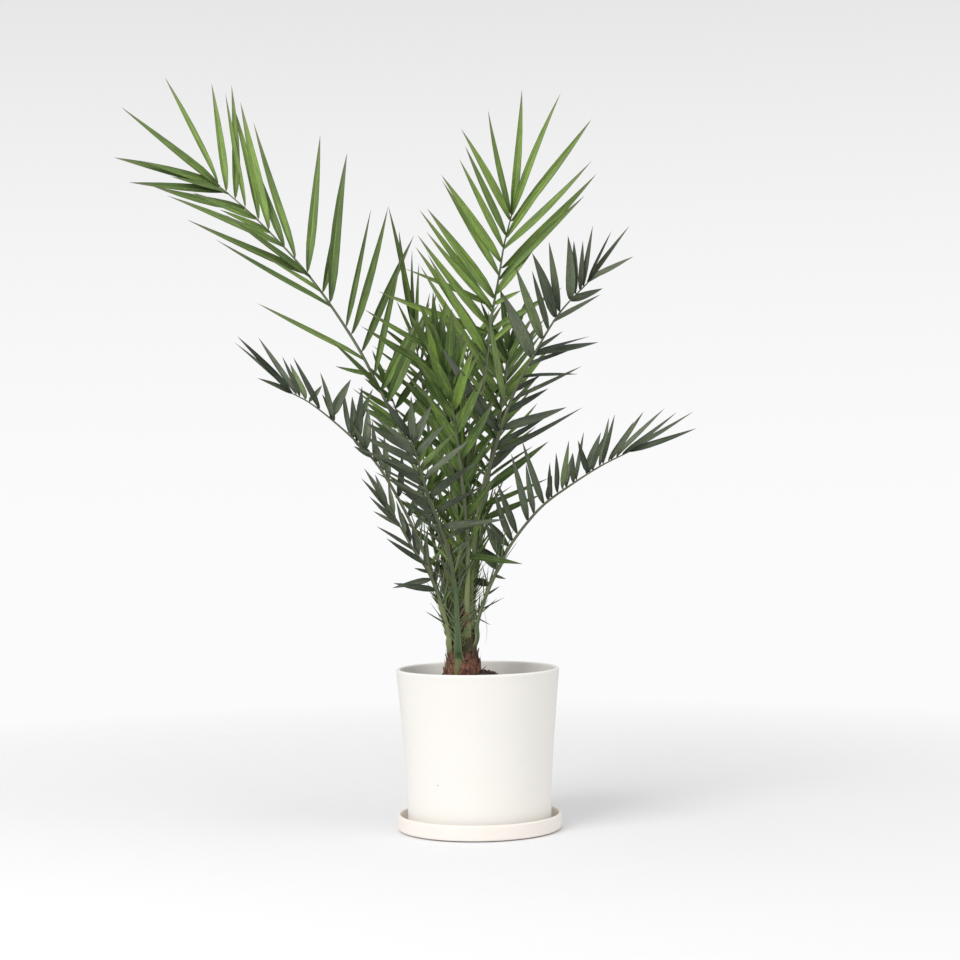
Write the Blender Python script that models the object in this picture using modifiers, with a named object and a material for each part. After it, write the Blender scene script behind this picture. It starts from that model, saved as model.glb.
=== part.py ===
"""Potted Canary Island date palm: saucer, pot, soil, stem and fronds.

The origin is the middle of the saucer's underside. The plant is drawn from the front: X runs to
the right, Y away from the viewer and Z up.
"""

import math
import random

import bmesh
import bpy
import numpy as np
from mathutils import Matrix, Vector
from mathutils.bvhtree import BVHTree

# Saucer, metres
SAUCER_RADIUS = 0.115
SAUCER_HEIGHT = 0.0226
SAUCER_WALL = 0.004
SAUCER_FLOOR = 0.006
SAUCER_EDGE = 0.003

# Pot, metres
POT_RIM_RADIUS = 0.115
POT_FOOT_RADIUS = 0.101
POT_HEIGHT = 0.2197
POT_WALL = 0.006
POT_FLOOR = 0.008
POT_FLARE_START = 0.030
POT_FLARE_EASE = 0.3
POT_FOOT_EDGE = 0.0035
POT_LIP = 0.0024
POT_OUTER_HEIGHTS = (0.180, 0.140, 0.110, 0.080, 0.055, POT_FLARE_START)
POT_INNER_HEIGHTS = (0.055, 0.110, 0.170, 0.205)

# Soil, metres: its height at the wall, and the heap at the stem, which keeps its height out to
# about its radius and then falls away
SOIL_WALL_HEIGHT = 0.2005
SOIL_HEAP = 0.0195
SOIL_HEAP_RADIUS = 0.044
SOIL_HEAP_POWER = 4
SOIL_RING_RADII = (0.0, 0.012, 0.024, 0.036, 0.048, 0.062, 0.080)
SOIL_SIDE_HEIGHTS = (0.170, 0.110, 0.055)

# Stem, metres: it stands left of the pot's middle, and widths follow its height
STEM_PLACE = Vector((-0.021, 0.0, 0.0))
STEM_WIDTHS = (
    (0.150, 0.000),
    (0.154, 0.015),
    (0.172, 0.0235),
    (0.200, 0.0258),
    (0.222, 0.0250),
    (0.240, 0.0205),
    (0.262, 0.0174),
    (0.285, 0.0138),
    (0.305, 0.0105),
    (0.330, 0.0066),
    (0.352, 0.0044),
    (0.362, 0.000),
)
STUB_COUNT = 13
STUB_LENGTH = 0.011
STUB_WIDTH = 0.0062
STUB_LOWEST = 0.229
STUB_HIGHEST = 0.250
STUB_TURN = math.radians(137.5)
STUB_LEAN = 0.75
STUB_SUNK = 0.30
STUB_NARROWING = 0.45

# Midribs and leaflets, metres
STALK_RADIUS = 0.0044
MIDRIB_RADIUS = 0.0033
MIDRIB_TIP_RADIUS = 0.0011
STALK_SHARE = 0.16
STALK_SUNK = 0.004
STALK_CLEAR = 0.0025
STALK_RISE = 0.018
LEAFLET_THICKNESS = 0.0010
LEAFLET_FOLD = 0.34
LEAFLET_WIDE_FROM = 0.24
LEAFLET_WIDE_TO = 0.60
LEAFLET_NARROWING = 0.82
LEAFLET_TWIST = 0.35
DEPTH_SPREAD = 0.12

# Space kept between touching pieces, and between leaflets of different fronds
SEAT_GAP = 0.0003
LEAF_GAP = 0.0006

# Mesh fineness
ROUND_STEPS = 48
STEM_STEPS = 24
MIDRIB_POINTS = 15
PATH_POINTS = 400

# The drawing: the front view in steps of DRAWING_STEP metres at the stem's plane, with its own
# middle line, foot line and lean, as the eye at EYE sees the plant.
DRAWING_STEP = 0.001411
DRAWING_MIDDLE = 480.0
DRAWING_FOOT = 827.4
DRAWING_LEAN = math.radians(0.85)
EYE = Vector((0.0, -2.68, 0.465))

# Each frond: where it leaves the stem (degrees round it, 90 is the back; height in metres), its
# midrib as (across, down, millimetres of depth) on the drawing, how much depth a leaflet gains
# for its length on the left and on the right of the midrib, the way its blades face, and its
# leaflets as (foot across, foot down, tip across, tip down, width in drawing steps).
# "pairs" adds evenly set leaflets: count, first place on the midrib, longest length in metres.
FRONDS = (
    {
        "name": "frond_left_high",
        "leaves_stem": (142, 0.289),
        "midrib": (
            (456, 600, 5), (446, 555, 9), (435, 520, 12), (424, 487, 17), (405, 441, 30),
            (378, 385, 48), (352, 337, 68), (308, 274, 95), (258, 220, 125), (216, 183, 150),
        ),
        "depth_gain": (-0.42, 0.62),
        "alternate": False,
        "faces": (0.45, -0.80, 0.40),
        "leaflets": (
            (219, 184, 164, 76, 7), (226, 192, 211, 82, 8), (236, 198, 231, 84, 8),
            (245, 208, 225, 92, 6), (259, 219, 231, 100, 8), (269, 230, 240, 101, 10),
            (285, 247, 250, 150, 8), (296, 258, 253, 121, 9), (308, 272, 320, 134, 9),
            (324, 292, 341, 185, 8), (332, 302, 347, 152, 11), (346, 328, 371, 208, 6),
            (354, 333, 388, 206, 9), (366, 350, 414, 235, 8), (381, 372, 402, 253, 7),
            (385, 388, 418, 318, 10), (403, 395, 430, 302, 11), (214, 180, 120, 106, 9),
            (213, 183, 113, 157, 10), (220, 187, 138, 160, 9), (229, 195, 170, 176, 8),
            (226, 192, 128, 182, 10), (246, 209, 150, 185, 9), (258, 219, 192, 192, 8),
            (285, 248, 166, 195, 9), (270, 233, 219, 209, 6), (308, 276, 186, 219, 9),
            (310, 280, 225, 214, 7), (322, 294, 262, 255, 6), (333, 308, 215, 239, 8),
            (365, 362, 257, 303, 8), (382, 392, 328, 338, 7), (372, 375, 335, 366, 5),
            (396, 424, 352, 388, 7), (400, 427, 355, 405, 7), (412, 455, 372, 428, 6),
            (420, 478, 384, 452, 6), (416, 466, 438, 420, 7), (424, 490, 446, 448, 7),
            (430, 508, 402, 482, 6), (434, 520, 456, 492, 6), (440, 536, 416, 512, 5),
            (444, 548, 424, 524, 5), (447, 562, 428, 540, 4),
        ),
    },
    {
        "name": "frond_right_high",
        "leaves_stem": (86, 0.300),
        "midrib": (
            (463, 600, 12), (464, 560, 17), (467, 500, 28), (475, 440, 42), (485, 370, 64),
            (491, 320, 80), (499, 276, 95), (504, 245, 106), (512, 213, 118),
        ),
        "depth_gain": (-0.22, -0.12),
        "alternate": False,
        "faces": (0.05, -0.95, 0.30),
        "leaflets": (
            (511, 212, 488, 109, 6), (510, 220, 461, 128, 8), (505, 235, 465, 145, 7),
            (502, 248, 459, 158, 7), (500, 262, 441, 174, 9), (498, 276, 442, 180, 8),
            (498, 299, 427, 208, 10), (496, 314, 419, 209, 8), (493, 308, 426, 231, 8),
            (490, 327, 417, 234, 8), (487, 350, 415, 246, 9), (485, 356, 427, 253, 10),
            (484, 366, 420, 265, 7), (494, 307, 404, 268, 6), (489, 333, 378, 291, 8),
            (513, 210, 522, 88, 8), (514, 212, 561, 92, 7), (512, 222, 592, 118, 9),
            (507, 239, 575, 145, 7), (505, 250, 592, 160, 9), (501, 268, 597, 173, 9),
            (500, 280, 585, 195, 8), (498, 295, 540, 240, 8), (494, 305, 522, 290, 5),
            (490, 330, 563, 287, 6), (489, 345, 540, 300, 5),
        ),
    },
    {
        "name": "frond_right_middle",
        "leaves_stem": (318, 0.272),
        "midrib": (
            (470, 600, -15), (473, 560, -19), (477, 520, -25), (484, 485, -32), (493, 455, -40),
            (502, 425, -50), (515, 390, -62), (535, 352, -76), (560, 312, -90), (590, 280, -105),
        ),
        "depth_gain": (-0.50, 0.42),
        "alternate": False,
        "faces": (-0.25, -0.85, 0.45),
        "leaflets": (
            (590, 286, 634, 256, 9), (594, 275, 630, 225, 6), (590, 275, 612, 230, 4),
            (583, 285, 593, 225, 6), (577, 287, 583, 240, 5), (574, 292, 574, 240, 7),
            (568, 298, 568, 235, 9), (557, 310, 549, 241, 8), (553, 315, 532, 252, 10),
            (545, 328, 532, 270, 6), (540, 338, 515, 265, 9), (530, 357, 502, 292, 13),
            (508, 408, 488, 310, 9), (500, 432, 440, 345, 12), (572, 303, 603, 288, 7),
            (556, 326, 601, 294, 7), (536, 358, 599, 342, 11), (540, 352, 563, 331, 5),
            (538, 355, 590, 336, 5), (528, 368, 577, 347, 8), (521, 378, 578, 374, 6),
            (510, 402, 582, 366, 6), (516, 392, 541, 375, 5), (506, 413, 549, 388, 7),
            (500, 431, 567, 407, 10), (496, 447, 545, 418, 6), (492, 456, 583, 407, 6),
            (488, 472, 519, 444, 6),
        ),
    },
    {
        "name": "frond_right_low",
        "leaves_stem": (342, 0.250),
        "midrib": (
            (477, 622, -9), (487, 592, -12), (498, 568, -16), (510, 545, -20), (527, 522, -25),
            (545, 503, -30), (570, 485, -36), (600, 466, -42), (630, 451, -48),
        ),
        "depth_gain": (-0.55, 0.55),
        "alternate": True,
        "faces": (-0.35, -0.80, 0.50),
        "leaflets": (
            (630, 450, 697, 428, 6), (628, 447, 694, 411, 7), (620, 450, 677, 412, 5),
            (615, 455, 665, 408, 7), (610, 458, 644, 411, 7), (607, 458, 634, 421, 5),
            (602, 462, 615, 414, 5), (598, 463, 609, 417, 5), (590, 467, 608, 430, 6),
            (583, 470, 601, 432, 8), (588, 472, 578, 440, 6), (575, 478, 584, 431, 5),
            (572, 480, 573, 453, 5), (565, 485, 573, 452, 6), (562, 488, 569, 440, 7),
            (557, 492, 556, 452, 6), (552, 497, 550, 462, 6), (548, 500, 552, 475, 6),
            (543, 503, 522, 440, 7), (533, 514, 526, 463, 6), (527, 520, 511, 453, 7),
            (518, 534, 497, 482, 7), (512, 541, 494, 488, 7), (510, 546, 486, 519, 8),
            (503, 557, 485, 522, 9), (501, 563, 476, 544, 7), (499, 569, 478, 554, 7),
            (491, 586, 470, 577, 8), (496, 576, 506, 579, 3), (487, 597, 500, 586, 3),
            (484, 611, 505, 597, 3), (483, 615, 497, 598, 3), (481, 619, 491, 625, 3),
        ),
    },
    {
        "name": "frond_left_middle",
        "leaves_stem": (190, 0.256),
        "midrib": (
            (447, 630, -6), (431, 570, -15), (410, 520, -26), (388, 480, -40), (370, 455, -50),
            (342, 428, -62), (312, 404, -72), (290, 392, -80),
        ),
        "depth_gain": (-0.50, 0.50),
        "alternate": True,
        "faces": (0.30, -0.85, 0.45),
        "leaflets": (
            (288, 391, 237, 336, 6), (286, 390, 234, 342, 5), (290, 392, 257, 378, 5),
            (298, 393, 258, 337, 6), (300, 395, 282, 356, 6), (306, 399, 290, 363, 8),
            (320, 408, 293, 357, 6), (310, 401, 322, 385, 5), (333, 418, 320, 372, 6),
            (332, 415, 351, 379, 9), (335, 420, 322, 394, 6), (350, 433, 343, 387, 6),
            (358, 440, 362, 386, 8), (354, 437, 352, 396, 8), (352, 435, 373, 388, 7),
            (366, 450, 368, 406, 8), (364, 448, 352, 424, 6), (382, 472, 374, 440, 7),
            (372, 458, 354, 446, 5), (370, 455, 353, 440, 6), (376, 463, 372, 420, 7),
            (388, 480, 384, 436, 7), (398, 497, 402, 452, 7), (414, 530, 436, 496, 6),
            (408, 517, 428, 470, 7), (422, 552, 408, 532, 4), (428, 566, 446, 544, 4),
            (440, 604, 428, 590, 3),
        ),
    },
    {
        "name": "frond_front_left",
        "leaves_stem": (257, 0.232),
        "midrib": (
            (458, 648, -27), (456, 600, -33), (451, 562, -48), (445, 540, -64), (437, 518, -88),
            (429, 498, -116), (423, 478, -150), (417, 458, -190), (411, 440, -232),
        ),
        "depth_gain": (-0.30, -0.25),
        "alternate": False,
        "faces": (0.05, -0.72, 0.70),
        "leaflets": (
            (411, 440, 382, 396, 8), (412, 442, 411, 395, 8), (413, 445, 432, 404, 8),
            (414, 450, 370, 412, 8), (417, 458, 364, 422, 12), (419, 466, 360, 436, 9),
            (422, 478, 353, 447, 8), (425, 486, 366, 450, 7), (427, 494, 374, 464, 6),
            (430, 502, 375, 472, 6), (433, 510, 388, 478, 6), (436, 518, 398, 490, 6),
            (439, 525, 404, 500, 6), (443, 536, 412, 514, 6), (446, 546, 418, 528, 5),
            (417, 457, 445, 424, 9), (420, 470, 455, 432, 9), (424, 482, 470, 440, 10),
            (429, 498, 478, 462, 10), (435, 514, 486, 484, 8), (440, 528, 506, 519, 9),
            (444, 540, 486, 518, 6), (449, 556, 474, 536, 5), (452, 570, 432, 556, 4),
            (454, 580, 472, 562, 4), (456, 596, 444, 582, 3),
        ),
    },
    {
        "name": "frond_left_low",
        "leaves_stem": (214, 0.242),
        "midrib": (
            (449, 632, -15), (440, 600, -24), (429, 572, -34), (413, 548, -44), (399, 524, -53),
            (386, 504, -62),
        ),
        "depth_gain": (-0.45, 0.40),
        "alternate": True,
        "faces": (0.25, -0.80, 0.55),
        "leaflets": (
            (387, 506, 364, 468, 6), (386, 504, 375, 474, 5), (395, 519, 361, 478, 6),
            (393, 516, 388, 482, 5), (399, 527, 369, 496, 6), (401, 529, 373, 511, 5),
            (416, 552, 376, 526, 5), (405, 534, 396, 500, 6), (423, 566, 386, 538, 6),
            (410, 543, 402, 512, 6), (427, 576, 413, 567, 5), (429, 580, 392, 588, 6),
            (433, 592, 393, 583, 7), (418, 556, 412, 526, 6), (424, 568, 426, 536, 6),
            (432, 586, 438, 556, 5), (437, 600, 430, 592, 3), (440, 610, 431, 595, 3),
            (444, 626, 425, 611, 3), (443, 624, 437, 612, 3),
        ),
    },
    {
        "name": "frond_left_inner",
        "leaves_stem": (170, 0.269),
        "midrib": (
            (447, 600, 4), (438, 560, 12), (429, 520, 24), (419, 480, 40), (408, 445, 58),
            (397, 412, 78), (388, 388, 98),
        ),
        "depth_gain": (-0.10, 0.25),
        "alternate": False,
        "faces": (0.30, -0.80, 0.50),
        "leaflets": (
            (388, 388, 372, 350, 7), (389, 390, 368, 366, 6), (393, 402, 364, 378, 6),
            (398, 415, 358, 388, 7), (403, 432, 362, 400, 7), (409, 448, 370, 418, 7),
            (415, 466, 376, 436, 7), (420, 482, 378, 452, 6), (425, 503, 384, 472, 6),
            (430, 525, 394, 496, 6), (435, 548, 406, 522, 5), (440, 570, 420, 550, 5),
            (388, 388, 396, 346, 7), (391, 396, 412, 350, 7), (396, 408, 426, 364, 7),
            (401, 424, 436, 380, 7), (406, 440, 444, 398, 7), (412, 456, 450, 416, 7),
            (417, 474, 454, 438, 7), (422, 494, 458, 460, 7), (428, 514, 458, 486, 6),
            (433, 538, 456, 514, 5), (440, 568, 454, 548, 4),
        ),
    },
    {
        "name": "frond_back_left",
        "leaves_stem": (118, 0.272),
        "midrib": (
            (459, 600, 21), (453, 560, 34), (445, 520, 52), (437, 480, 74), (430, 440, 98),
            (425, 400, 122), (419, 362, 146), (414, 334, 164),
        ),
        "depth_gain": (-0.20, 0.20),
        "alternate": False,
        "faces": (0.30, -0.80, 0.50),
        "leaflets": (
            (414, 334, 388, 205, 9), (415, 336, 399, 230, 7), (416, 342, 412, 249, 4),
            (417, 346, 419, 262, 4), (417, 348, 396, 300, 6), (418, 352, 430, 292, 4),
            (419, 358, 381, 326, 5), (420, 364, 437, 290, 5), (421, 370, 374, 335, 6),
            (421, 376, 446, 318, 6), (422, 382, 372, 345, 6), (424, 390, 456, 330, 7),
            (425, 398, 378, 366, 7), (427, 408, 460, 352, 7), (428, 420, 385, 385, 7),
            (431, 440, 462, 392, 7), (434, 460, 396, 425, 6), (438, 480, 470, 440, 6),
        ),
    },
    {
        "name": "frond_right_inner",
        "leaves_stem": (26, 0.286),
        "midrib": (
            (470, 600, 10), (475, 560, 18), (481, 515, 29), (487, 480, 41), (493, 450, 55),
            (499, 420, 71), (505, 385, 92), (509, 350, 114),
        ),
        "depth_gain": (-0.15, 0.25),
        "alternate": False,
        "faces": (-0.20, -0.85, 0.45),
        "leaflets": (
            (509, 350, 500, 285, 7), (509, 352, 530, 292, 7), (508, 360, 480, 300, 7),
            (507, 370, 545, 318, 7), (505, 385, 470, 325, 8), (503, 398, 552, 345, 7),
            (501, 410, 462, 352, 8), (499, 425, 528, 400, 7), (496, 438, 458, 388, 8),
            (493, 452, 548, 428, 7), (488, 474, 405, 373, 9), (485, 490, 549, 441, 8),
            (483, 508, 549, 478, 6), (482, 512, 455, 470, 7), (480, 521, 542, 494, 7),
            (478, 535, 456, 500, 6), (476, 548, 458, 516, 5), (474, 566, 486, 545, 4),
        ),
    },
    {
        "name": "frond_centre",
        "leaves_stem": (262, 0.298),
        "midrib": (
            (462, 600, -13), (460, 560, -15), (457, 520, -16), (453, 480, -17), (448, 440, -17),
            (443, 400, -16), (440, 370, -14), (438, 347, -12),
        ),
        "depth_gain": (-0.30, -0.20),
        "alternate": False,
        "faces": (0.05, -0.92, 0.38),
        "leaflets": (
            (438, 348, 433, 291, 7), (438, 350, 446, 300, 8), (439, 354, 420, 304, 9),
            (439, 356, 364, 309, 8), (439, 360, 408, 312, 9), (440, 364, 455, 318, 9),
            (441, 374, 361, 326, 7), (442, 380, 426, 322, 10), (443, 392, 404, 345, 10),
            (443, 396, 470, 335, 9), (445, 408, 412, 350, 10), (446, 414, 480, 352, 9),
            (447, 424, 402, 378, 9), (448, 432, 488, 385, 9), (450, 445, 414, 398, 9),
            (452, 460, 486, 425, 8), (454, 480, 420, 436, 8), (456, 498, 482, 462, 7),
            (458, 520, 436, 488, 6), (459, 545, 476, 520, 5),
        ),
    },
    {
        "name": "frond_front_middle",
        "leaves_stem": (290, 0.262),
        "midrib": (
            (467, 600, -29), (468, 560, -42), (466, 520, -56), (462, 480, -68), (457, 440, -78),
            (452, 405, -86), (448, 374, -92),
        ),
        "depth_gain": (-0.15, -0.10),
        "alternate": False,
        "faces": (0.0, -0.72, 0.70),
        "leaflets": (
            (448, 374, 441, 314, 9), (448, 375, 452, 308, 9), (449, 384, 432, 322, 10),
            (450, 392, 464, 330, 10), (452, 402, 424, 340, 10), (453, 410, 474, 348, 10),
            (455, 425, 418, 362, 10), (456, 434, 486, 374, 10), (458, 448, 422, 388, 10),
            (460, 460, 494, 402, 10), (461, 474, 428, 414, 9), (463, 486, 492, 436, 8),
            (465, 505, 438, 452, 8), (466, 520, 494, 478, 7), (467, 538, 448, 500, 6),
            (468, 556, 523, 564, 7), (468, 570, 482, 548, 4),
        ),
    },
    {
        "name": "frond_back_middle",
        "leaves_stem": (86, 0.252),
        "midrib": (
            (465, 600, 30), (464, 560, 50), (462, 520, 78), (461, 480, 112), (462, 440, 152),
            (463, 405, 196), (465, 375, 244), (468, 350, 290),
        ),
        "depth_gain": (0.30, 0.30),
        "alternate": False,
        "faces": (0.0, -0.60, 0.80),
        "pairs": (15, 0.36, 0.150),
    },
    {
        "name": "frond_back_right",
        "leaves_stem": (54, 0.262),
        "midrib": (
            (473, 600, 24), (478, 560, 42), (483, 520, 66), (488, 480, 95), (494, 440, 128),
            (500, 405, 164), (505, 375, 202), (508, 352, 240),
        ),
        "depth_gain": (0.20, 0.30),
        "alternate": False,
        "faces": (-0.25, -0.60, 0.75),
        "pairs": (12, 0.46, 0.112),
    },
)

# Computed leaflets: degrees from the midrib at its foot and at its tip, degrees of lift, where on
# the midrib the last pair stands, the shortest length as a share of the longest, the stretch of a
# half wave that their lengths follow, and how far angles and sizes vary
PAIR_SPREAD = (62.0, 24.0)
PAIR_LIFT = 22.0
PAIR_WIDTH = 0.0105
PAIR_LAST = 0.99
PAIR_SHORTEST = 0.45
PAIR_WAVE = (0.12, 0.80)
PAIR_SPREAD_VARIES = 7.0
PAIR_LIFT_VARIES = 8.0
PAIR_LENGTH_VARIES = (0.92, 1.06)
PAIR_WIDTH_VARIES = (0.85, 1.10)

# The youngest leaf, still closed: foot on the stem's top, then (across, down, depth)
SPEAR_PATH = ((463, 560, 3), (461, 500, 4), (458, 430, 7), (456, 352, 12))
SPEAR_RADII = (0.0026, 0.0040, 0.0052, 0.0046, 0.0006)
SPEAR_POINTS = 9

# Search for room: how far a leaflet's tip may be moved along the line of sight, and its steps
TIP_MOVE_STEP = 0.006
TIP_MOVES = 14
SHORTER = (1.0, 0.85, 0.7)
OUTER_FROM = 0.22

COLOURS = {
    "saucer": (0.90, 0.85, 0.78, 1.0),
    "pot": (0.91, 0.88, 0.81, 1.0),
    "soil": (0.045, 0.028, 0.020, 1.0),
    "stem": (0.16, 0.075, 0.040, 1.0),
    "leaf_bright": (0.15, 0.30, 0.045, 1.0),
    "leaf_dark": (0.045, 0.085, 0.055, 1.0),
}
BRIGHT_FRONDS = (
    "frond_left_high", "frond_right_high", "frond_centre", "frond_right_inner", "frond_front_middle",
    "spear_leaf",
)


def clear_objects():
    """Removes whatever the scene held before."""
    for existing in list(bpy.data.objects):
        bpy.data.objects.remove(existing)


def new_collection(name):
    collection = bpy.data.collections.new(name)
    bpy.context.scene.collection.children.link(collection)
    return collection


def finish(name, colour, roughness, metallic=0.0):
    """A plain material with the piece's own colour."""
    material = bpy.data.materials.new(name)
    material.use_nodes = True
    shader = material.node_tree.nodes["Principled BSDF"]
    shader.inputs["Base Color"].default_value = colour
    shader.inputs["Roughness"].default_value = roughness
    shader.inputs["Metallic"].default_value = metallic
    return material


def add_object(name, mesh, collection, material=None):
    made = bpy.data.objects.new(name, mesh)
    collection.objects.link(made)
    if material is not None:
        made.data.materials.append(material)
    return made


def turned(name, profile, steps, collection, material):
    """A solid of revolution: the profile of (radius, height) points is carried round Z."""
    mesh = bpy.data.meshes.new(name)
    points = [(radius, 0.0, height) for radius, height in profile]
    mesh.from_pydata(points, [(i, i + 1) for i in range(len(points) - 1)], [])
    made = add_object(name, mesh, collection, material)
    screw = made.modifiers.new("turn", "SCREW")
    screw.steps = steps
    screw.render_steps = steps
    screw.use_merge_vertices = True
    screw.merge_threshold = 0.00005
    screw.use_smooth_shade = True
    return made


def arc(centre_radius, centre_height, radius, start, end, count):
    """Points on a round edge of a profile, from start to end degrees."""
    angles = [math.radians(start + (end - start) * i / count) for i in range(count + 1)]
    return [(centre_radius + radius * math.cos(a), centre_height + radius * math.sin(a)) for a in angles]


def make_saucer(collection):
    """A flat dish with an upright wall, rounded at the foot and on top of the wall."""
    lip = SAUCER_WALL / 2
    inner = SAUCER_RADIUS - SAUCER_WALL
    profile = [(0.0, SAUCER_FLOOR), (inner - SAUCER_EDGE, SAUCER_FLOOR)]
    profile += arc(inner - SAUCER_EDGE, SAUCER_FLOOR + SAUCER_EDGE, SAUCER_EDGE, -60, 0, 2)
    profile += arc(SAUCER_RADIUS - lip, SAUCER_HEIGHT - lip, lip, 180, 0, 4)
    profile += arc(SAUCER_RADIUS - SAUCER_EDGE, SAUCER_EDGE, SAUCER_EDGE, 0, -90, 3)
    profile.append((0.0, 0.0))
    return turned("saucer", profile, ROUND_STEPS, collection, finish("saucer", COLOURS["saucer"], 0.45))


def pot_radius(height):
    """The pot's outer radius: upright at the foot, easing into a straight flare to the rim."""
    ease = POT_FLARE_EASE
    share = max(0.0, (height - POT_FLARE_START) / (POT_HEIGHT + SAUCER_FLOOR - POT_FLARE_START))
    flare = (math.hypot(share, ease) - ease) / (math.hypot(1.0, ease) - ease)
    return POT_FOOT_RADIUS + (POT_RIM_RADIUS - POT_FOOT_RADIUS) * flare


def make_pot(collection):
    """A turned planter with one wall, a flat floor and a rounded lip."""
    bottom = SAUCER_FLOOR + SEAT_GAP
    top = SAUCER_FLOOR + POT_HEIGHT
    floor = bottom + POT_FLOOR
    profile = [(0.0, floor), (pot_radius(floor) - POT_WALL - POT_FOOT_EDGE, floor)]
    profile += [(pot_radius(h) - POT_WALL, h) for h in (floor + POT_FOOT_EDGE, *POT_INNER_HEIGHTS)]
    profile += arc(POT_RIM_RADIUS - POT_LIP, top - POT_LIP, POT_LIP, 180, 0, 4)
    profile += [(pot_radius(h), h) for h in POT_OUTER_HEIGHTS]
    profile += arc(POT_FOOT_RADIUS - POT_FOOT_EDGE, bottom + POT_FOOT_EDGE, POT_FOOT_EDGE, 0, -90, 3)
    profile.append((0.0, bottom))
    return turned("pot", profile, ROUND_STEPS, collection, finish("pot", COLOURS["pot"], 0.35))


def soil_height(radius):
    """The soil's surface: level at the wall, rising in a soft heap to the middle."""
    return SOIL_WALL_HEIGHT + SOIL_HEAP * math.exp(-((radius / SOIL_HEAP_RADIUS) ** SOIL_HEAP_POWER))


def make_soil(collection, stem_cutter):
    """The soil fills the pot to below its rim, with a socket for the stem."""
    floor = SAUCER_FLOOR + SEAT_GAP + POT_FLOOR + SEAT_GAP
    edge = pot_radius(SOIL_WALL_HEIGHT) - POT_WALL - 2 * SEAT_GAP
    profile = [(r, soil_height(r)) for r in (*SOIL_RING_RADII, edge)]
    profile += [(pot_radius(h) - POT_WALL - 2 * SEAT_GAP, h) for h in SOIL_SIDE_HEIGHTS]
    low_edge = floor + POT_FOOT_EDGE
    profile += [(pot_radius(low_edge) - POT_WALL - 2 * SEAT_GAP, low_edge)]
    profile += [(pot_radius(floor) - POT_WALL - POT_FOOT_EDGE - 2 * SEAT_GAP, floor), (0.0, floor)]
    made = turned("soil", profile, ROUND_STEPS, collection, finish("soil", COLOURS["soil"], 0.95))
    cut = made.modifiers.new("stem_socket", "BOOLEAN")
    cut.operation = "DIFFERENCE"
    cut.object = stem_cutter
    return made


def stem_radius(height):
    heights, radii = zip(*STEM_WIDTHS)
    return float(np.interp(height, heights, radii))


def stem_profile(extra):
    """The stem's outline from top to bottom, grown by extra."""
    outline = [(radius + (extra if radius > 0.0 else 0.0), height) for height, radius in STEM_WIDTHS]
    outline[0] = (0.0, outline[0][1] - extra)
    outline[-1] = (0.0, outline[-1][1] + extra)
    return outline[::-1]


def make_stem(collection, cutters):
    """The swollen stem, with stubs of old leaf bases set in a spiral round it."""
    made = turned("stem", stem_profile(0.0), STEM_STEPS, collection, finish("stem", COLOURS["stem"], 0.9))
    made.location = STEM_PLACE
    shapes = bmesh.new()
    for index in range(STUB_COUNT):
        share = index / (STUB_COUNT - 1)
        height = STUB_LOWEST + (STUB_HIGHEST - STUB_LOWEST) * share
        turn = index * STUB_TURN
        out = Vector((math.cos(turn), math.sin(turn), 0.0))
        aim = (out * STUB_LEAN + Vector((0.0, 0.0, 1.0))).normalized()
        middle = out * (stem_radius(height) - STUB_LENGTH * STUB_SUNK)
        foot = STEM_PLACE + middle + Vector((0.0, 0.0, height))
        place = Matrix.Translation(foot) @ aim.to_track_quat("Z", "Y").to_matrix().to_4x4()
        bmesh.ops.create_cone(
            shapes, cap_ends=True, segments=6, radius1=STUB_WIDTH, radius2=STUB_WIDTH * STUB_NARROWING,
            depth=STUB_LENGTH, matrix=place,
        )
    mesh = bpy.data.meshes.new("old_leaf_bases")
    shapes.to_mesh(mesh)
    shapes.free()
    stubs = guide(add_object("old_leaf_bases", mesh, cutters))
    join = made.modifiers.new("old_leaf_bases", "BOOLEAN")
    join.operation = "UNION"
    join.solver = "MANIFOLD"
    join.object = stubs
    return made


def guide(made):
    """Marks an object as a cutter: it doesn't render and shows as wires."""
    made.hide_render = True
    made.display_type = "WIRE"
    return made


def seen_at(across, down, depth):
    """The point at this depth that shows at a place on the drawing."""
    right = (across - DRAWING_MIDDLE) * DRAWING_STEP
    up = (DRAWING_FOOT - down) * DRAWING_STEP
    x = right * math.cos(DRAWING_LEAN) + up * math.sin(DRAWING_LEAN)
    z = up * math.cos(DRAWING_LEAN) - right * math.sin(DRAWING_LEAN)
    nearness = (depth - EYE.y) / -EYE.y
    return Vector((x * nearness, depth, EYE.z + (z - EYE.z) * nearness))


def drawn_at(points):
    """Places on the drawing where these points show, as an array of (across, down)."""
    points = np.asarray(points, dtype=float)
    nearness = (points[:, 1] - EYE.y) / -EYE.y
    x = points[:, 0] / nearness
    z = EYE.z + (points[:, 2] - EYE.z) / nearness
    right = x * math.cos(DRAWING_LEAN) - z * math.sin(DRAWING_LEAN)
    up = x * math.sin(DRAWING_LEAN) + z * math.cos(DRAWING_LEAN)
    return np.stack([DRAWING_MIDDLE + right / DRAWING_STEP, DRAWING_FOOT - up / DRAWING_STEP], axis=1)


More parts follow.
